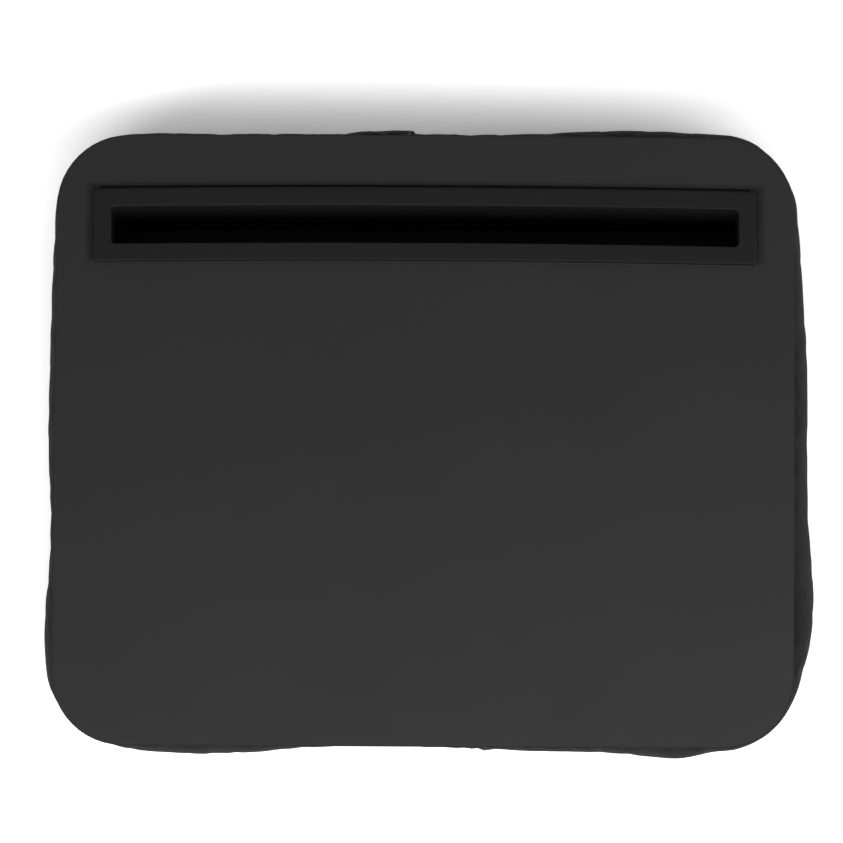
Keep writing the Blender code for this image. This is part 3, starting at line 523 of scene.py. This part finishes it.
tray = {
    "width": 0.345, "length": 0.285, "cornerRadius": 0.033, "wall": 0.0025, "bottom": 0.052,
    "rearBow": 0.0010, "endBow": 0.0007,
}
cushion = {
    "widest": 0.027, "overhang": 0.0052, "baseRound": 0.024, "rimOut": -0.0007, "rimLevel": 0.0517,
    "hemTop": 0.0595, "seamAngle": -50.0, "rearSeam": -0.0048, "frontSeam": 0.0266,
    "holeShare": 0.004,  # the last ring of a closed end, as a share of its first
    # where the cover swells out or sags: x and y on the tray's edge, how far, and over what distance
    "swells": (
        (0.172, 0.100, 0.0009, 0.035), (0.172, 0.035, 0.0062, 0.060), (0.172, -0.020, 0.0024, 0.040),
        (0.172, -0.080, 0.0093, 0.045), (0.160, -0.132, -0.0012, 0.028), (0.118, -0.142, 0.0024, 0.026),
        (0.055, -0.142, 0.0004, 0.028), (-0.020, -0.142, -0.0024, 0.055), (-0.104, -0.142, 0.0026, 0.034),
        (-0.152, -0.140, -0.0030, 0.024), (-0.172, -0.093, 0.0038, 0.031), (-0.172, -0.003, 0.0016, 0.035),
        (-0.172, 0.055, 0.0021, 0.045), (-0.018, 0.142, 0.0008, 0.020), (0.100, 0.142, 0.0032, 0.042),
        (0.140, -0.143, -0.0013, 0.012), (0.122, -0.143, 0.0010, 0.011), (0.171, -0.116, -0.0014, 0.012),
        (-0.136, -0.143, 0.0013, 0.013), (0.155, 0.139, 0.0011, 0.013), (-0.125, 0.143, 0.0009, 0.012),
        (-0.046, 0.143, -0.0009, 0.012), (-0.075, -0.142, 0.0006, 0.012), (-0.172, 0.005, 0.0005, 0.022),
        (0.0281, -0.1425, 0.0006, 0.0036),
    ),
}


def rimLengths():
    # straight runs and quarter circles of the tray's edge, clockwise from the rear seam
    flatX = tray["width"] / 2 - tray["cornerRadius"]
    flatY = tray["length"] / 2 - tray["cornerRadius"]
    quarter, seam = tray["cornerRadius"] * math.pi / 2, cushion["rearSeam"]
    runs = [flatX - seam, quarter, 2 * flatY, quarter, 2 * flatX, quarter, 2 * flatY, quarter, flatX + seam]
    return flatX, flatY, np.array(runs)


def rimAt(distance):
    # point and outward direction on the tray's edge at each distance along it: runs are straight, corners
    # are centre + radius * (cos, sin), and the sides then bow out by bow * (1 - (2 t)^2)
    flatX, flatY, lengths = rimLengths()
    distance = np.mod(distance, lengths.sum())
    starts = np.concatenate([[0], np.cumsum(lengths)[:-1]])
    halfX, halfY, radius = tray["width"] / 2, tray["length"] / 2, tray["cornerRadius"]
    runs = {
        0: ((cushion["rearSeam"], halfY), (1, 0)), 2: ((halfX, flatY), (0, -1)),
        4: ((flatX, -halfY), (-1, 0)), 6: ((-halfX, -flatY), (0, 1)), 8: ((-flatX, halfY), (1, 0)),
    }
    centres = {
        1: (flatX, flatY, 90), 3: (flatX, -flatY, 0), 5: (-flatX, -flatY, -90), 7: (-flatX, flatY, 180),
    }
    point, out = np.zeros((*distance.shape, 2)), np.zeros((*distance.shape, 2))
    for number, length in enumerate(lengths):
        inside = (distance >= starts[number]) & (distance <= starts[number] + length)
        along = (distance - starts[number])[inside][:, None]
        if number in runs:
            start, way = map(np.array, runs[number])
            point[inside] = start + along * way
            out[inside] = (-way[1], way[0])
        else:
            x, y, angle = centres[number]
            angle = math.radians(angle) - along[:, 0] / radius
            out[inside] = np.stack([np.cos(angle), np.sin(angle)], -1)
            point[inside] = np.array((x, y)) + radius * out[inside]
    across, ahead = point[..., 0] / halfX, point[..., 1] / halfY
    point[..., 0] += tray["endBow"] * across * (1 - ahead ** 2)
    point[..., 1] += tray["rearBow"] * np.maximum(ahead, 0) * (1 - across ** 2)
    return point, out


def frontSeamDistance():
    # how far round the edge the front seam lies from the rear seam
    flatX, flatY, lengths = rimLengths()
    return lengths[:4].sum() + flatX - cushion["frontSeam"]


rimTotal = rimLengths()[2].sum()
frontSeamAt = frontSeamDistance()


def fading(distance, reach):
    # 1 where the distance is 0, and exp(-(distance / reach)^2) away from there
    return np.exp(-(distance / reach) ** 2)


def eased(share):
    # 0 to 1, level at both ends: share^2 (3 - 2 share)
    return share * share * (3 - 2 * share)


def overhangAt(point):
    # overhang + the sum of amount * fading(distance, reach) over the swells
    total = np.full(point.shape[:-1], cushion["overhang"])
    for x, y, amount, reach in cushion["swells"]:
        total += amount * fading(np.hypot(point[..., 0] - x, point[..., 1] - y), reach)
    return total


def cushionSide(distance, angle, inset=0.0, rimOut=cushion["rimOut"], rimLevel=cushion["rimLevel"]):
    # above the widest level: a quarter ellipse from the rim, reach = rimOut + (widest - rimOut) cos, level
    # rising by sin; below it: a quarter circle of baseRound down to the floor
    point, out = rimAt(distance)
    widest = overhangAt(point)
    across, up = np.cos(np.radians(angle)), np.sin(np.radians(angle))
    middle, base = cushion["widest"], cushion["baseRound"]
    upper = rimOut + (widest - inset - rimOut) * across
    reach = np.where(up >= 0, upper, widest - base + (base - inset) * across)
    level = middle + np.where(up >= 0, rimLevel - middle, middle - inset) * up
    return np.concatenate([point + reach[..., None] * out, level[..., None]], -1)


def lumps(points, size, seed):
    # smooth random heights from -1 to 1: a lattice of cells of that size, eased between its corners
    cells = 24
    lattice = np.random.default_rng(seed).uniform(-1, 1, (cells,) * 3)
    low = np.floor(points / size).astype(int)
    part = eased(points / size - low)
    total = np.zeros(points.shape[:-1])
    for corner in np.ndindex(2, 2, 2):
        at = np.mod(low + corner, cells)
        share = np.prod(np.where(corner, part, 1 - part), axis=-1)
        total += share * lattice[at[..., 0], at[..., 1], at[..., 2]]
    return total


def gridNormals(points):
    # cross product of the two grid directions, pointing out of the cushion
    along, down = np.gradient(points, axis=1), np.gradient(points, axis=0)
    normal = np.cross(along, down)
    return normal / np.maximum(np.linalg.norm(normal, axis=-1, keepdims=True), 1e-12)


def raised(points, height):
    # points + height along the grid's normals
    return points + gridNormals(points) * height[..., None]


def ringsInside(ring, shares):
    # copies of a ring at its own level, drawn in to shares of its size: (share x, share y, z)
    return ring[None] * np.where([False, False, True], 1, np.asarray(shares)[:, None, None])


def shrinkTo(ring, rows):
    # rows of such rings from the ring, which is left out, in to the middle
    return ringsInside(ring, np.linspace(1, cushion["holeShare"], rows)[1:])


def ringBeside(distance, reach, level):
    # the tray's edge moved outwards by reach, at that level
    rim, out = rimAt(distance)
    return np.concatenate([rim + reach * out, np.full((len(rim), 1), level)], 1)


def gridFaces(rows, columns, closed):
    # one quad between each four neighbours, wound so that it faces out of the cushion
    index = np.arange(rows * columns).reshape(rows, columns)
    after = np.roll(index, -1, axis=1) if closed else index[:, 1:]
    here = index if closed else index[:, :-1]
    return np.stack([here[:-1], after[:-1], after[1:], here[1:]], -1).reshape(-1, 4)


def closedFaces(points, capStart=False, capEnd=False):
    # quads round and round, and one face over the first ring, the last or both
    rows, columns = points.shape[:2]
    faces, ring = gridFaces(rows, columns, True).tolist(), list(range(columns))
    if capStart:
        faces.append(ring[::-1])
    if capEnd:
        faces.append([(rows - 1) * columns + corner for corner in ring])
    return faces


def addPiece(name, points, faces, material, uv=None):
    mesh = bpy.data.meshes.new(name)
    mesh.from_pydata(points.reshape(-1, 3).tolist(), [], faces)
    mesh.polygons.foreach_set("use_smooth", np.ones(len(mesh.polygons), bool))
    if uv is not None:
        corners = np.zeros(len(mesh.loops), int)
        mesh.loops.foreach_get("vertex_index", corners)
        layer = mesh.uv_layers.new(name="UVMap")
        layer.data.foreach_set("uv", uv.reshape(-1, 2)[corners].astype(np.float32).ravel())
    mesh.materials.append(material)
    obj = bpy.data.objects.new(name, mesh)
    scene.collection.objects.link(obj)
    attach(obj, "root")
    return obj


def addWall(obj, thickness):
    wall = obj.modifiers.new("wall", "SOLIDIFY")
    wall.thickness, wall.offset = thickness, -1


# Trial cushion: a closed cloth form blown up by its beads, for the folds that the cover takes

trial = {
    "columns": 320, "sideRows": 26, "capShares": (0.93, 0.8, 0.55, 0.25, 0.03),
    "heldAbove": 2, "heldBelow": 3,  # rows of the side that stay where they are
    "seedSize": 0.012, "seedBump": 0.0006, "seed": 11, "spareCloth": 0.045, "pressure": 4.0, "frames": 20,
    "quality": 6, "mass": 0.2, "stretch": 12, "shear": 4, "bend": 0.12,
    "slowestFold": 0.022, "foldLimit": 0.00070,
}


def trialPoints():
    # rings down the side, then shrinking rings across the base, and across the top under the tray
    distance = np.linspace(0, rimTotal, trial["columns"], endpoint=False)
    angle = np.linspace(90, -90, trial["sideRows"])
    side = cushionSide(*np.broadcast_arrays(distance[None, :], angle[:, None]))
    top, base = ringsInside(side[0], trial["capShares"][::-1]), ringsInside(side[-1], trial["capShares"])
    return side, np.concatenate([top, side, base])


def foldsFromTrial():
    side, start = trialPoints()
    first = len(trial["capShares"])
    last = first + trial["sideRows"]
    lumped = raised(start, lumps(start, trial["seedSize"], trial["seed"]) * trial["seedBump"])
    held = np.ones(start.shape[:2], bool)
    held[first + trial["heldAbove"]:last - trial["heldBelow"]] = False
    lumped[held] = start[held]
    mesh = bpy.data.meshes.new("trial cushion")
    mesh.from_pydata(lumped.reshape(-1, 3).tolist(), [], closedFaces(start, capStart=True, capEnd=True))
    obj = bpy.data.objects.new("trial cushion", mesh)
    scene.collection.objects.link(obj)
    obj.vertex_groups.new(name="held").add(np.flatnonzero(held).tolist(), 1.0, "REPLACE")
    modifier = obj.modifiers.new("cloth", "CLOTH")
    settings = modifier.settings
    settings.quality = trial["quality"]
    settings.mass = trial["mass"]
    settings.tension_stiffness = settings.compression_stiffness = trial["stretch"]
    settings.shear_stiffness = trial["shear"]
    settings.bending_stiffness = trial["bend"]
    settings.use_pressure = True
    settings.uniform_pressure_force = trial["pressure"]
    settings.shrink_min = settings.shrink_max = -trial["spareCloth"]
    settings.vertex_group_mass = "held"
    settings.effector_weights.gravity = 0
    modifier.collision_settings.use_collision = False
    modifier.point_cache.frame_start, modifier.point_cache.frame_end = 1, trial["frames"]
    for number in range(1, trial["frames"] + 1):
        scene.frame_set(number)
    shaped = obj.evaluated_get(bpy.context.evaluated_depsgraph_get()).to_mesh()
    blown = np.zeros(start.size)
    shaped.vertices.foreach_get("co", blown)
    scene.frame_set(1)
    bpy.data.objects.remove(obj)
    moved = blown.reshape(start.shape)[first:last] - side
    return (moved * gridNormals(side)).sum(-1)


def keptFolds(raw):
    # the folds only: what is slower than slowestFold along the rim is taken off, and the rest is capped
    columns = raw.shape[1]
    waves = np.fft.rfftfreq(columns, rimTotal / columns)
    slow = np.exp(-((waves * trial["slowestFold"]) ** 2))
    quickPart = np.fft.irfft(np.fft.rfft(raw, axis=1) * (1 - slow), columns, axis=1)
    limit = trial["foldLimit"]
    return limit * np.tanh(quickPart / limit)


folds = keptFolds(foldsFromTrial())
print(f"trial cushion blown up: folds of up to {np.abs(folds).max() * 1000:.2f} mm")


def foldsAt(distance, angle):
    # the trial's grid read between its points, round and round along the rim, by eased shares
    rows, columns = folds.shape
    u = np.mod(distance, rimTotal) / rimTotal * columns
    v = np.clip((90 - angle) / 180 * (rows - 1), 0, rows - 1.001)
    left, upper = np.floor(u).astype(int), np.floor(v).astype(int)
    du, dv = eased(u - left), eased(v - upper)
    left, right = left % columns, (left + 1) % columns
    return ((1 - du) * (1 - dv) * folds[upper, left] + du * (1 - dv) * folds[upper, right]
            + (1 - du) * dv * folds[upper + 1, left] + du * dv * folds[upper + 1, right])


# Sewn cover: two side bands and a base panel

cover = {
    "thickness": 0.001, "seamGap": 0.00004, "hemGap": 0.0003, "turnHeight": 0.0012, "floorGap": 0.00005,
    "bandColumns": 520, "hemRows": 7, "sideRows": 52, "endCrowding": 0.72,
    "baseColumns": 520, "baseRows": 34, "baseSideRows": 16, "baseStart": 0.6,  # degrees below the seam
    # lumps of the beads behind the cloth
    "lumpSize": 0.013, "lumpHeight": 0.00012, "fineLumpSize": 0.0055, "fineLumpHeight": 0.00005,
    # where the folds ease, in degrees above the widest level, and below it
    "smoothShare": 0.68, "smoothAngle": 25.0, "smoothReach": 32.0,
    "lowShare": 0.55, "lowFrom": 5.0, "lowTo": 35.0,
    # how near the rim or a seam the relief dies away
    "rimFade": 0.006, "seamFade": 0.005, "gatherFade": 0.003, "puckerFade": 0.0015,
    "rimEase": 0.15, "seamEase": 10,  # radians and degrees
    "frontSeamDepth": 0.0008, "frontSeamWidth": 0.0018, "shallowShare": 0.8, "shallowReach": 20,
    "lapHeight": 0.0014, "lapFade": 0.045, "lapEdge": 0.0006,
    "baseSeamDepth": 0.0009, "baseSeamWidth": 0.0020,
    "puckerHeight": 0.00019, "puckerPitch": 0.0105, "puckerReach": 0.0075, "ripplePitch": 0.0084,
    "rearRipple": 0.5, "gatherHeight": 0.00011, "gatherPitch": 0.0105, "gatherReach": 0.009,
    "wanderSize": 2.7, "wanderPhase": 4.5,  # how slowly a row of puckers changes its pitch, and how much
    "seeds": {"lumps": 3, "fineLumps": 4, "gathers": 5, "puckers": 6, "ripple": 7},
}


def crowded(count):
    # 0 to 1 with steps that shorten towards both ends: t - crowding * sin(2 pi t) / (2 pi)
    t = np.linspace(0, 1, count)
    return t - cover["endCrowding"] * np.sin(2 * np.pi * t) / (2 * np.pi)


def wander(value, pitch, seed):
    # a wave whose pitch wanders: cos of 2 pi value / pitch with a slow random phase
    line = np.stack([value, np.zeros_like(value), np.zeros_like(value)], -1)
    slow = lumps(line, pitch * cover["wanderSize"], cover["seeds"][seed])
    return np.cos(2 * np.pi * value / pitch + cover["wanderPhase"] * slow)


def coverRelief(points, distance, angle, fromEnds):
    # how far the cloth stands off its smooth form: folds and bead lumps, a groove and puckers along the base
    # seam, and gathers under the rim. The folds ease where the cloth is pulled tight below the rim, and
    # where it turns in towards the base
    tight = cover["smoothShare"] * fading(angle - cover["smoothAngle"], cover["smoothReach"])
    turned = np.clip((-angle - cover["lowFrom"]) / (cover["lowTo"] - cover["lowFrom"]), 0, 1)
    height = foldsAt(distance, angle) * (1 - tight) * (1 - cover["lowShare"] * turned)
    height += cover["lumpHeight"] * lumps(points, cover["lumpSize"], cover["seeds"]["lumps"])
    height += cover["fineLumpHeight"] * lumps(points, cover["fineLumpSize"], cover["seeds"]["fineLumps"])
    fromRim = np.radians(90 - angle) * cushion["widest"]
    fromBase = np.radians(np.abs(angle - cushion["seamAngle"])) * cushion["baseRound"]
    height *= 1 - fading(fromRim, cover["rimFade"])
    height *= 1 - fading(np.minimum(fromBase, fromEnds), cover["seamFade"])
    gather = wander(distance, cover["gatherPitch"], "gathers") * np.exp(-fromRim / cover["gatherReach"])
    height += cover["gatherHeight"] * gather * (1 - fading(fromRim, cover["gatherFade"]))
    pucker = wander(distance, cover["puckerPitch"], "puckers") * np.exp(-fromBase / cover["puckerReach"])
    height += cover["puckerHeight"] * pucker * (1 - fading(fromBase, cover["puckerFade"]))
    height -= cover["baseSeamDepth"] * fading(fromBase, cover["baseSeamWidth"])
    return height


def seamRelief(name, angle, fromFront, fromRear):
    # front: both bands turn in along a groove, shallow at the widest level, with short puckers across it;
    # rear: weaker puckers, and the left band laps over
    up = np.radians(90 - angle) * cushion["widest"]
    ripple = cover["puckerHeight"] * wander(up, cover["ripplePitch"], "ripple")
    shallow = 1 - cover["shallowShare"] * fading(angle, cover["shallowReach"])
    height = -cover["frontSeamDepth"] * shallow * fading(fromFront, cover["frontSeamWidth"])
    nearFront, nearRear = (np.exp(-gap / cover["puckerReach"]) for gap in (fromFront, fromRear))
    height += ripple * nearFront * (1 - fading(fromFront, cover["puckerFade"]))
    height += ripple * nearRear * cover["rearRipple"]
    if name == "coverBandLeft":
        lap = fading(fromRear, cover["lapFade"]) * (1 - fading(fromRear, cover["lapEdge"]))
        height += cover["lapHeight"] * lap
    return height


def coverHeight(name, distance, angle):
    # the whole relief at a place on the cushion. The side seams stop at the base seam, and under it the
    # bag and the beads lose their grooves over seamEase
    fromFront, fromRear = np.abs(distance - frontSeamAt), np.minimum(distance, rimTotal - distance)
    above = angle > cushion["seamAngle"]
    ends = np.where(above, np.minimum(fromFront, fromRear), 1.0)
    height = coverRelief(cushionSide(distance, angle), distance, angle, ends)
    fromRim = 1 - fading(np.radians(90 - angle), cover["rimEase"])
    below = np.clip((angle - cushion["seamAngle"]) / cover["seamEase"] + 1, 0, 1) if name == "bag" else above
    return height + seamRelief(name, angle, fromFront, fromRear) * fromRim * below


def shapedSide(name, distance, angle, *form):
    # the cushion's side over those distances and angles, raised by the relief
    distances, angles = np.broadcast_arrays(distance[None, :], angle[:, None])
    return raised(cushionSide(distances, angles, *form), coverHeight(name, distances, angles))


def clothUv(points, distance):
    # u is the distance along the rim and v the length down the cloth, both in metres
    steps = np.linalg.norm(np.diff(points, axis=0), axis=-1)
    down = np.concatenate([np.zeros_like(steps[:1]), np.cumsum(steps, axis=0)])
    return np.stack([distance, down], -1)


def bandGrid(name, start, end):
    # down inside the tray's wall, out under the rim, and down the side to the base seam, in steps halfway
    # between even and crowded ones
    gap, rows = cover["seamGap"], cover["sideRows"]
    along = start + gap + (end - start - 2 * gap) * crowded(cover["bandColumns"])
    share = 0.5 * crowded(rows) + 0.5 * np.linspace(0, 1, rows)
    side = shapedSide(name, along, 90 - (90 - cushion["seamAngle"]) * share)
    hemOut, rimLevel = -tray["wall"] - cover["hemGap"], cushion["rimLevel"]
    levels = np.linspace(cushion["hemTop"], rimLevel + cover["turnHeight"], cover["hemRows"])
    hem = [ringBeside(along, hemOut, level) for level in levels]
    hem.append(ringBeside(along, hemOut + cover["hemGap"], rimLevel + cover["hemGap"]))
    points = np.concatenate([np.stack(hem), side])
    return points, np.broadcast_to(along, points.shape[:2])


def addBand(name, start, end, node):
    points, distance = bandGrid(name, start, end)
    faces = gridFaces(*points.shape[:2], False).tolist()
    piece = addPiece(name, points, faces, coverCloth, clothUv(points, distance))
    addWall(piece, cover["thickness"])
    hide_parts(node)
    return piece, points


bandRight, rightPoints = addBand("coverBandRight", 0.0, frontSeamAt, "cover_band_right")
bandLeft, leftPoints = addBand("coverBandLeft", frontSeamAt, rimTotal, "cover_band_left")


def addBase():
    # from the seam round to the floor, then shrinking rings on the floor in to the middle
    distance = np.linspace(0, rimTotal, cover["baseColumns"], endpoint=False)
    angle = np.linspace(cushion["seamAngle"] - cover["baseStart"], -90, cover["baseSideRows"])
    side = shapedSide("coverBase", distance, angle)
    flat = shrinkTo(side[-1], cover["baseRows"])
    flat[..., 2] = 0.0
    points = np.concatenate([side, flat])
    points[..., 2] = np.maximum(points[..., 2], cover["floorGap"])
    faces = closedFaces(points, capEnd=True)
    piece = addPiece("coverBase", points, faces, coverCloth, points[..., :2])
    addWall(piece, cover["thickness"])
    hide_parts("cover_base")
    return piece


coverBase = addBase()
print("cover bands and base made")


# Stitching: a row of sunken stitches along each seam

stitch = {
    "pitch": 0.0034, "length": 0.0026, "radius": 0.00026, "rings": 6, "sides": 6, "tip": 0.98,
    "lift": 0.55, "dip": 1.5,  # in radii, at the middle and towards the ends
    "besideSeam": 0.0032, "clearOfHem": 6, "clearOfBase": 3,  # the last two in rows of the band
}


def stitchRow(line, facing):
    # each stitch is a short capsule: radius * (1 - t^4)^(1/2) round a line at radius * (lift - dip t^2)
    steps = np.linalg.norm(np.diff(line, axis=0), axis=1)
    along = np.concatenate([[0], np.cumsum(steps)])
    count = max(int(along[-1] / stitch["pitch"]), 1)
    at = (np.arange(count) + 0.5) * along[-1] / count

    def read(values, where):
        return np.stack([np.interp(where, along, values[:, k]) for k in range(3)], -1)

    half, rings, sides = stitch["length"] / 2, stitch["rings"], stitch["sides"]
    centre, ahead = read(line, at), read(line, at + half) - read(line, at - half)
    ahead /= np.linalg.norm(ahead, axis=1, keepdims=True)
    side = np.cross(ahead, read(facing, at))
    side /= np.linalg.norm(side, axis=1, keepdims=True)
    up = np.cross(side, ahead)
    t = np.linspace(-stitch["tip"], stitch["tip"], rings)[None, :, None, None]
    turn = np.linspace(0, 2 * np.pi, sides, endpoint=False)[None, None, :, None]
    radius = stitch["radius"] * np.sqrt(1 - t ** 4)
    lift = stitch["radius"] * (stitch["lift"] - stitch["dip"] * t ** 2)
    centre, ahead, up, side = (v[:, None, None, :] for v in (centre, ahead, up, side))
    points = centre + ahead * t * half + up * (radius * np.cos(turn) + lift) + side * radius * np.sin(turn)
    first = np.arange(count)[:, None, None] * rings * sides
    quads = (gridFaces(rings, sides, True)[:, ::-1] + first).reshape(-1, 4).tolist()
    ends = np.stack([np.arange(sides), (rings - 1) * sides + np.arange(sides)[::-1]])
    caps = (ends + first).reshape(-1, sides).tolist()
    u, v = at[:, None, None] + t[..., 0] * half, turn[..., 0] * stitch["radius"]
    return points, quads + caps, np.stack(np.broadcast_arrays(u, v), -1)


def addStitches(name, points, where):
    grid, faces, uv = stitchRow(points[where], gridNormals(points)[where])
    return addPiece(name, grid, faces, coverThread, uv)


def besideEdge(line, edge):
    # the point of the line that lies besideSeam from its first or last point
    gaps = np.linalg.norm(line - line[edge], axis=1)
    return int(np.argmin(np.abs(gaps - stitch["besideSeam"])))


def stitchesDown(name, points, edge):
    # along the seam at the band's first or last column, clear of the hem and the base seam
    rows = slice(cover["hemRows"] + stitch["clearOfHem"], -stitch["clearOfBase"])
    return addStitches(name, points, (rows, besideEdge(points[points.shape[0] // 2], edge)))


def stitchesRound(name, points):
    # along the base seam, over the band's whole length
    return addStitches(name, points, besideEdge(points[:, points.shape[1] // 2], -1))


stitchesRight = [
    stitchesDown("stitchesFrontRight", rightPoints, -1),
    stitchesRound("stitchesBaseRight", rightPoints),
]
stitchesLeft = [
    stitchesDown("stitchesFrontLeft", leftPoints, 0),
    stitchesDown("stitchesRearLap", leftPoints, -1),
    stitchesRound("stitchesBaseLeft", leftPoints),
]
print("seams stitched")


# Inner bag and its beads

bag = {
    "thickness": 0.0005, "depth": 0.0014, "underTray": 0.0003, "topInset": 0.0085, "top": 0.0580,
    "lapBelow": 0.0008, "columns": 240, "sideRows": 40, "flatRows": 24, "topRows": 72,
    "creaseHeight": 0.0004, "creaseSize": 0.009, "seeds": {"bottom": 8, "top": 9},
    "well": {"x": 0.149, "y": (0.0790, 0.1125), "bottom": 0.0423, "slope": 0.0045},
}
beads = {"gap": 0.0009, "wellGap": 0.0015, "lumpHeight": 0.00030, "lumpSize": 0.0035, "seed": 10}


def bagTopLevel(points, top, grow):
    # flat, with a trough for the slot's well: top - depth * eased(1 - distance from the well / slope)
    well = bag["well"]
    x = np.maximum(np.abs(points[..., 0]) - well["x"] - grow, 0)
    y = np.maximum(np.maximum(well["y"][0] - grow - points[..., 1], points[..., 1] - well["y"][1] - grow), 0)
    return top - (top - well["bottom"] + grow) * eased(np.clip(1 - np.hypot(x, y) / well["slope"], 0, 1))


def bagDistances():
    # round the rim, closer together near the two seams
    share = crowded(bag["columns"])[:-1]
    return np.concatenate([frontSeamAt * share, frontSeamAt + (rimTotal - frontSeamAt) * share])


def bagSides(depth, topInset, top):
    # the top's edge, and the cushion's side at that depth in the cover
    distance = bagDistances()
    angle = np.linspace(90, -90, bag["sideRows"])
    shoulder = tray["bottom"] - bag["underTray"] - depth
    side = shapedSide("bag", distance, angle, depth, -topInset, shoulder)
    side[..., 2] = np.maximum(side[..., 2], depth)
    return ringBeside(distance, -topInset, top), side


def sunken(points, height, size, seed):
    # dents from 0 to height deep: height (lumps - 1) / 2
    return raised(points, height * (lumps(points, size, seed) - 1) * 0.5)


def addBagBottom():
    upper, side = bagSides(bag["depth"], bag["topInset"], bag["top"] - bag["lapBelow"])
    points = np.concatenate([upper[None], side, shrinkTo(side[-1], bag["flatRows"])])
    points = sunken(points, bag["creaseHeight"], bag["creaseSize"], bag["seeds"]["bottom"])
    piece = addPiece("bagBottom", points, closedFaces(points, capEnd=True), bagCloth)
    addWall(piece, bag["thickness"])
    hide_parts("bead_bag_bottom")
    return piece


def addBagTop():
    edge = ringBeside(bagDistances(), -bag["topInset"], 0.0)
    points = np.concatenate([shrinkTo(edge, bag["topRows"])[::-1], edge[None]])
    crease = bag["creaseHeight"] * (1 + lumps(points, bag["creaseSize"], bag["seeds"]["top"])) / 2
    points[..., 2] = bagTopLevel(points, bag["top"], 0.0) - crease
    piece = addPiece("bagTop", points, closedFaces(points, capStart=True), bagCloth)
    addWall(piece, bag["thickness"])
    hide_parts("bead_bag_top")
    return piece


def addBeads():
    # the bag's form, further in by its cloth and a gap, closed over the top
    depth = bag["depth"] + bag["thickness"] + beads["gap"]
    inset = bag["topInset"] + bag["thickness"] + beads["gap"]
    top = bag["top"] - bag["thickness"] - 2 * beads["gap"]
    upper, side = bagSides(depth, inset, top)
    over = shrinkTo(upper, bag["topRows"])[::-1]
    over[..., 2] = bagTopLevel(over, top, beads["wellGap"])
    points = np.concatenate([over, upper[None], side, shrinkTo(side[-1], bag["flatRows"])])
    points = sunken(points, beads["lumpHeight"], beads["lumpSize"], beads["seed"])
    faces = closedFaces(points, capStart=True, capEnd=True)
    piece = addPiece("beadFill", points, faces, beadFoam)
    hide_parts("bead_fill")
    return piece


bagBottom, bagTop, beadFill = addBagBottom(), addBagTop(), addBeads()
print("bag and beads made")


print("all pieces made")
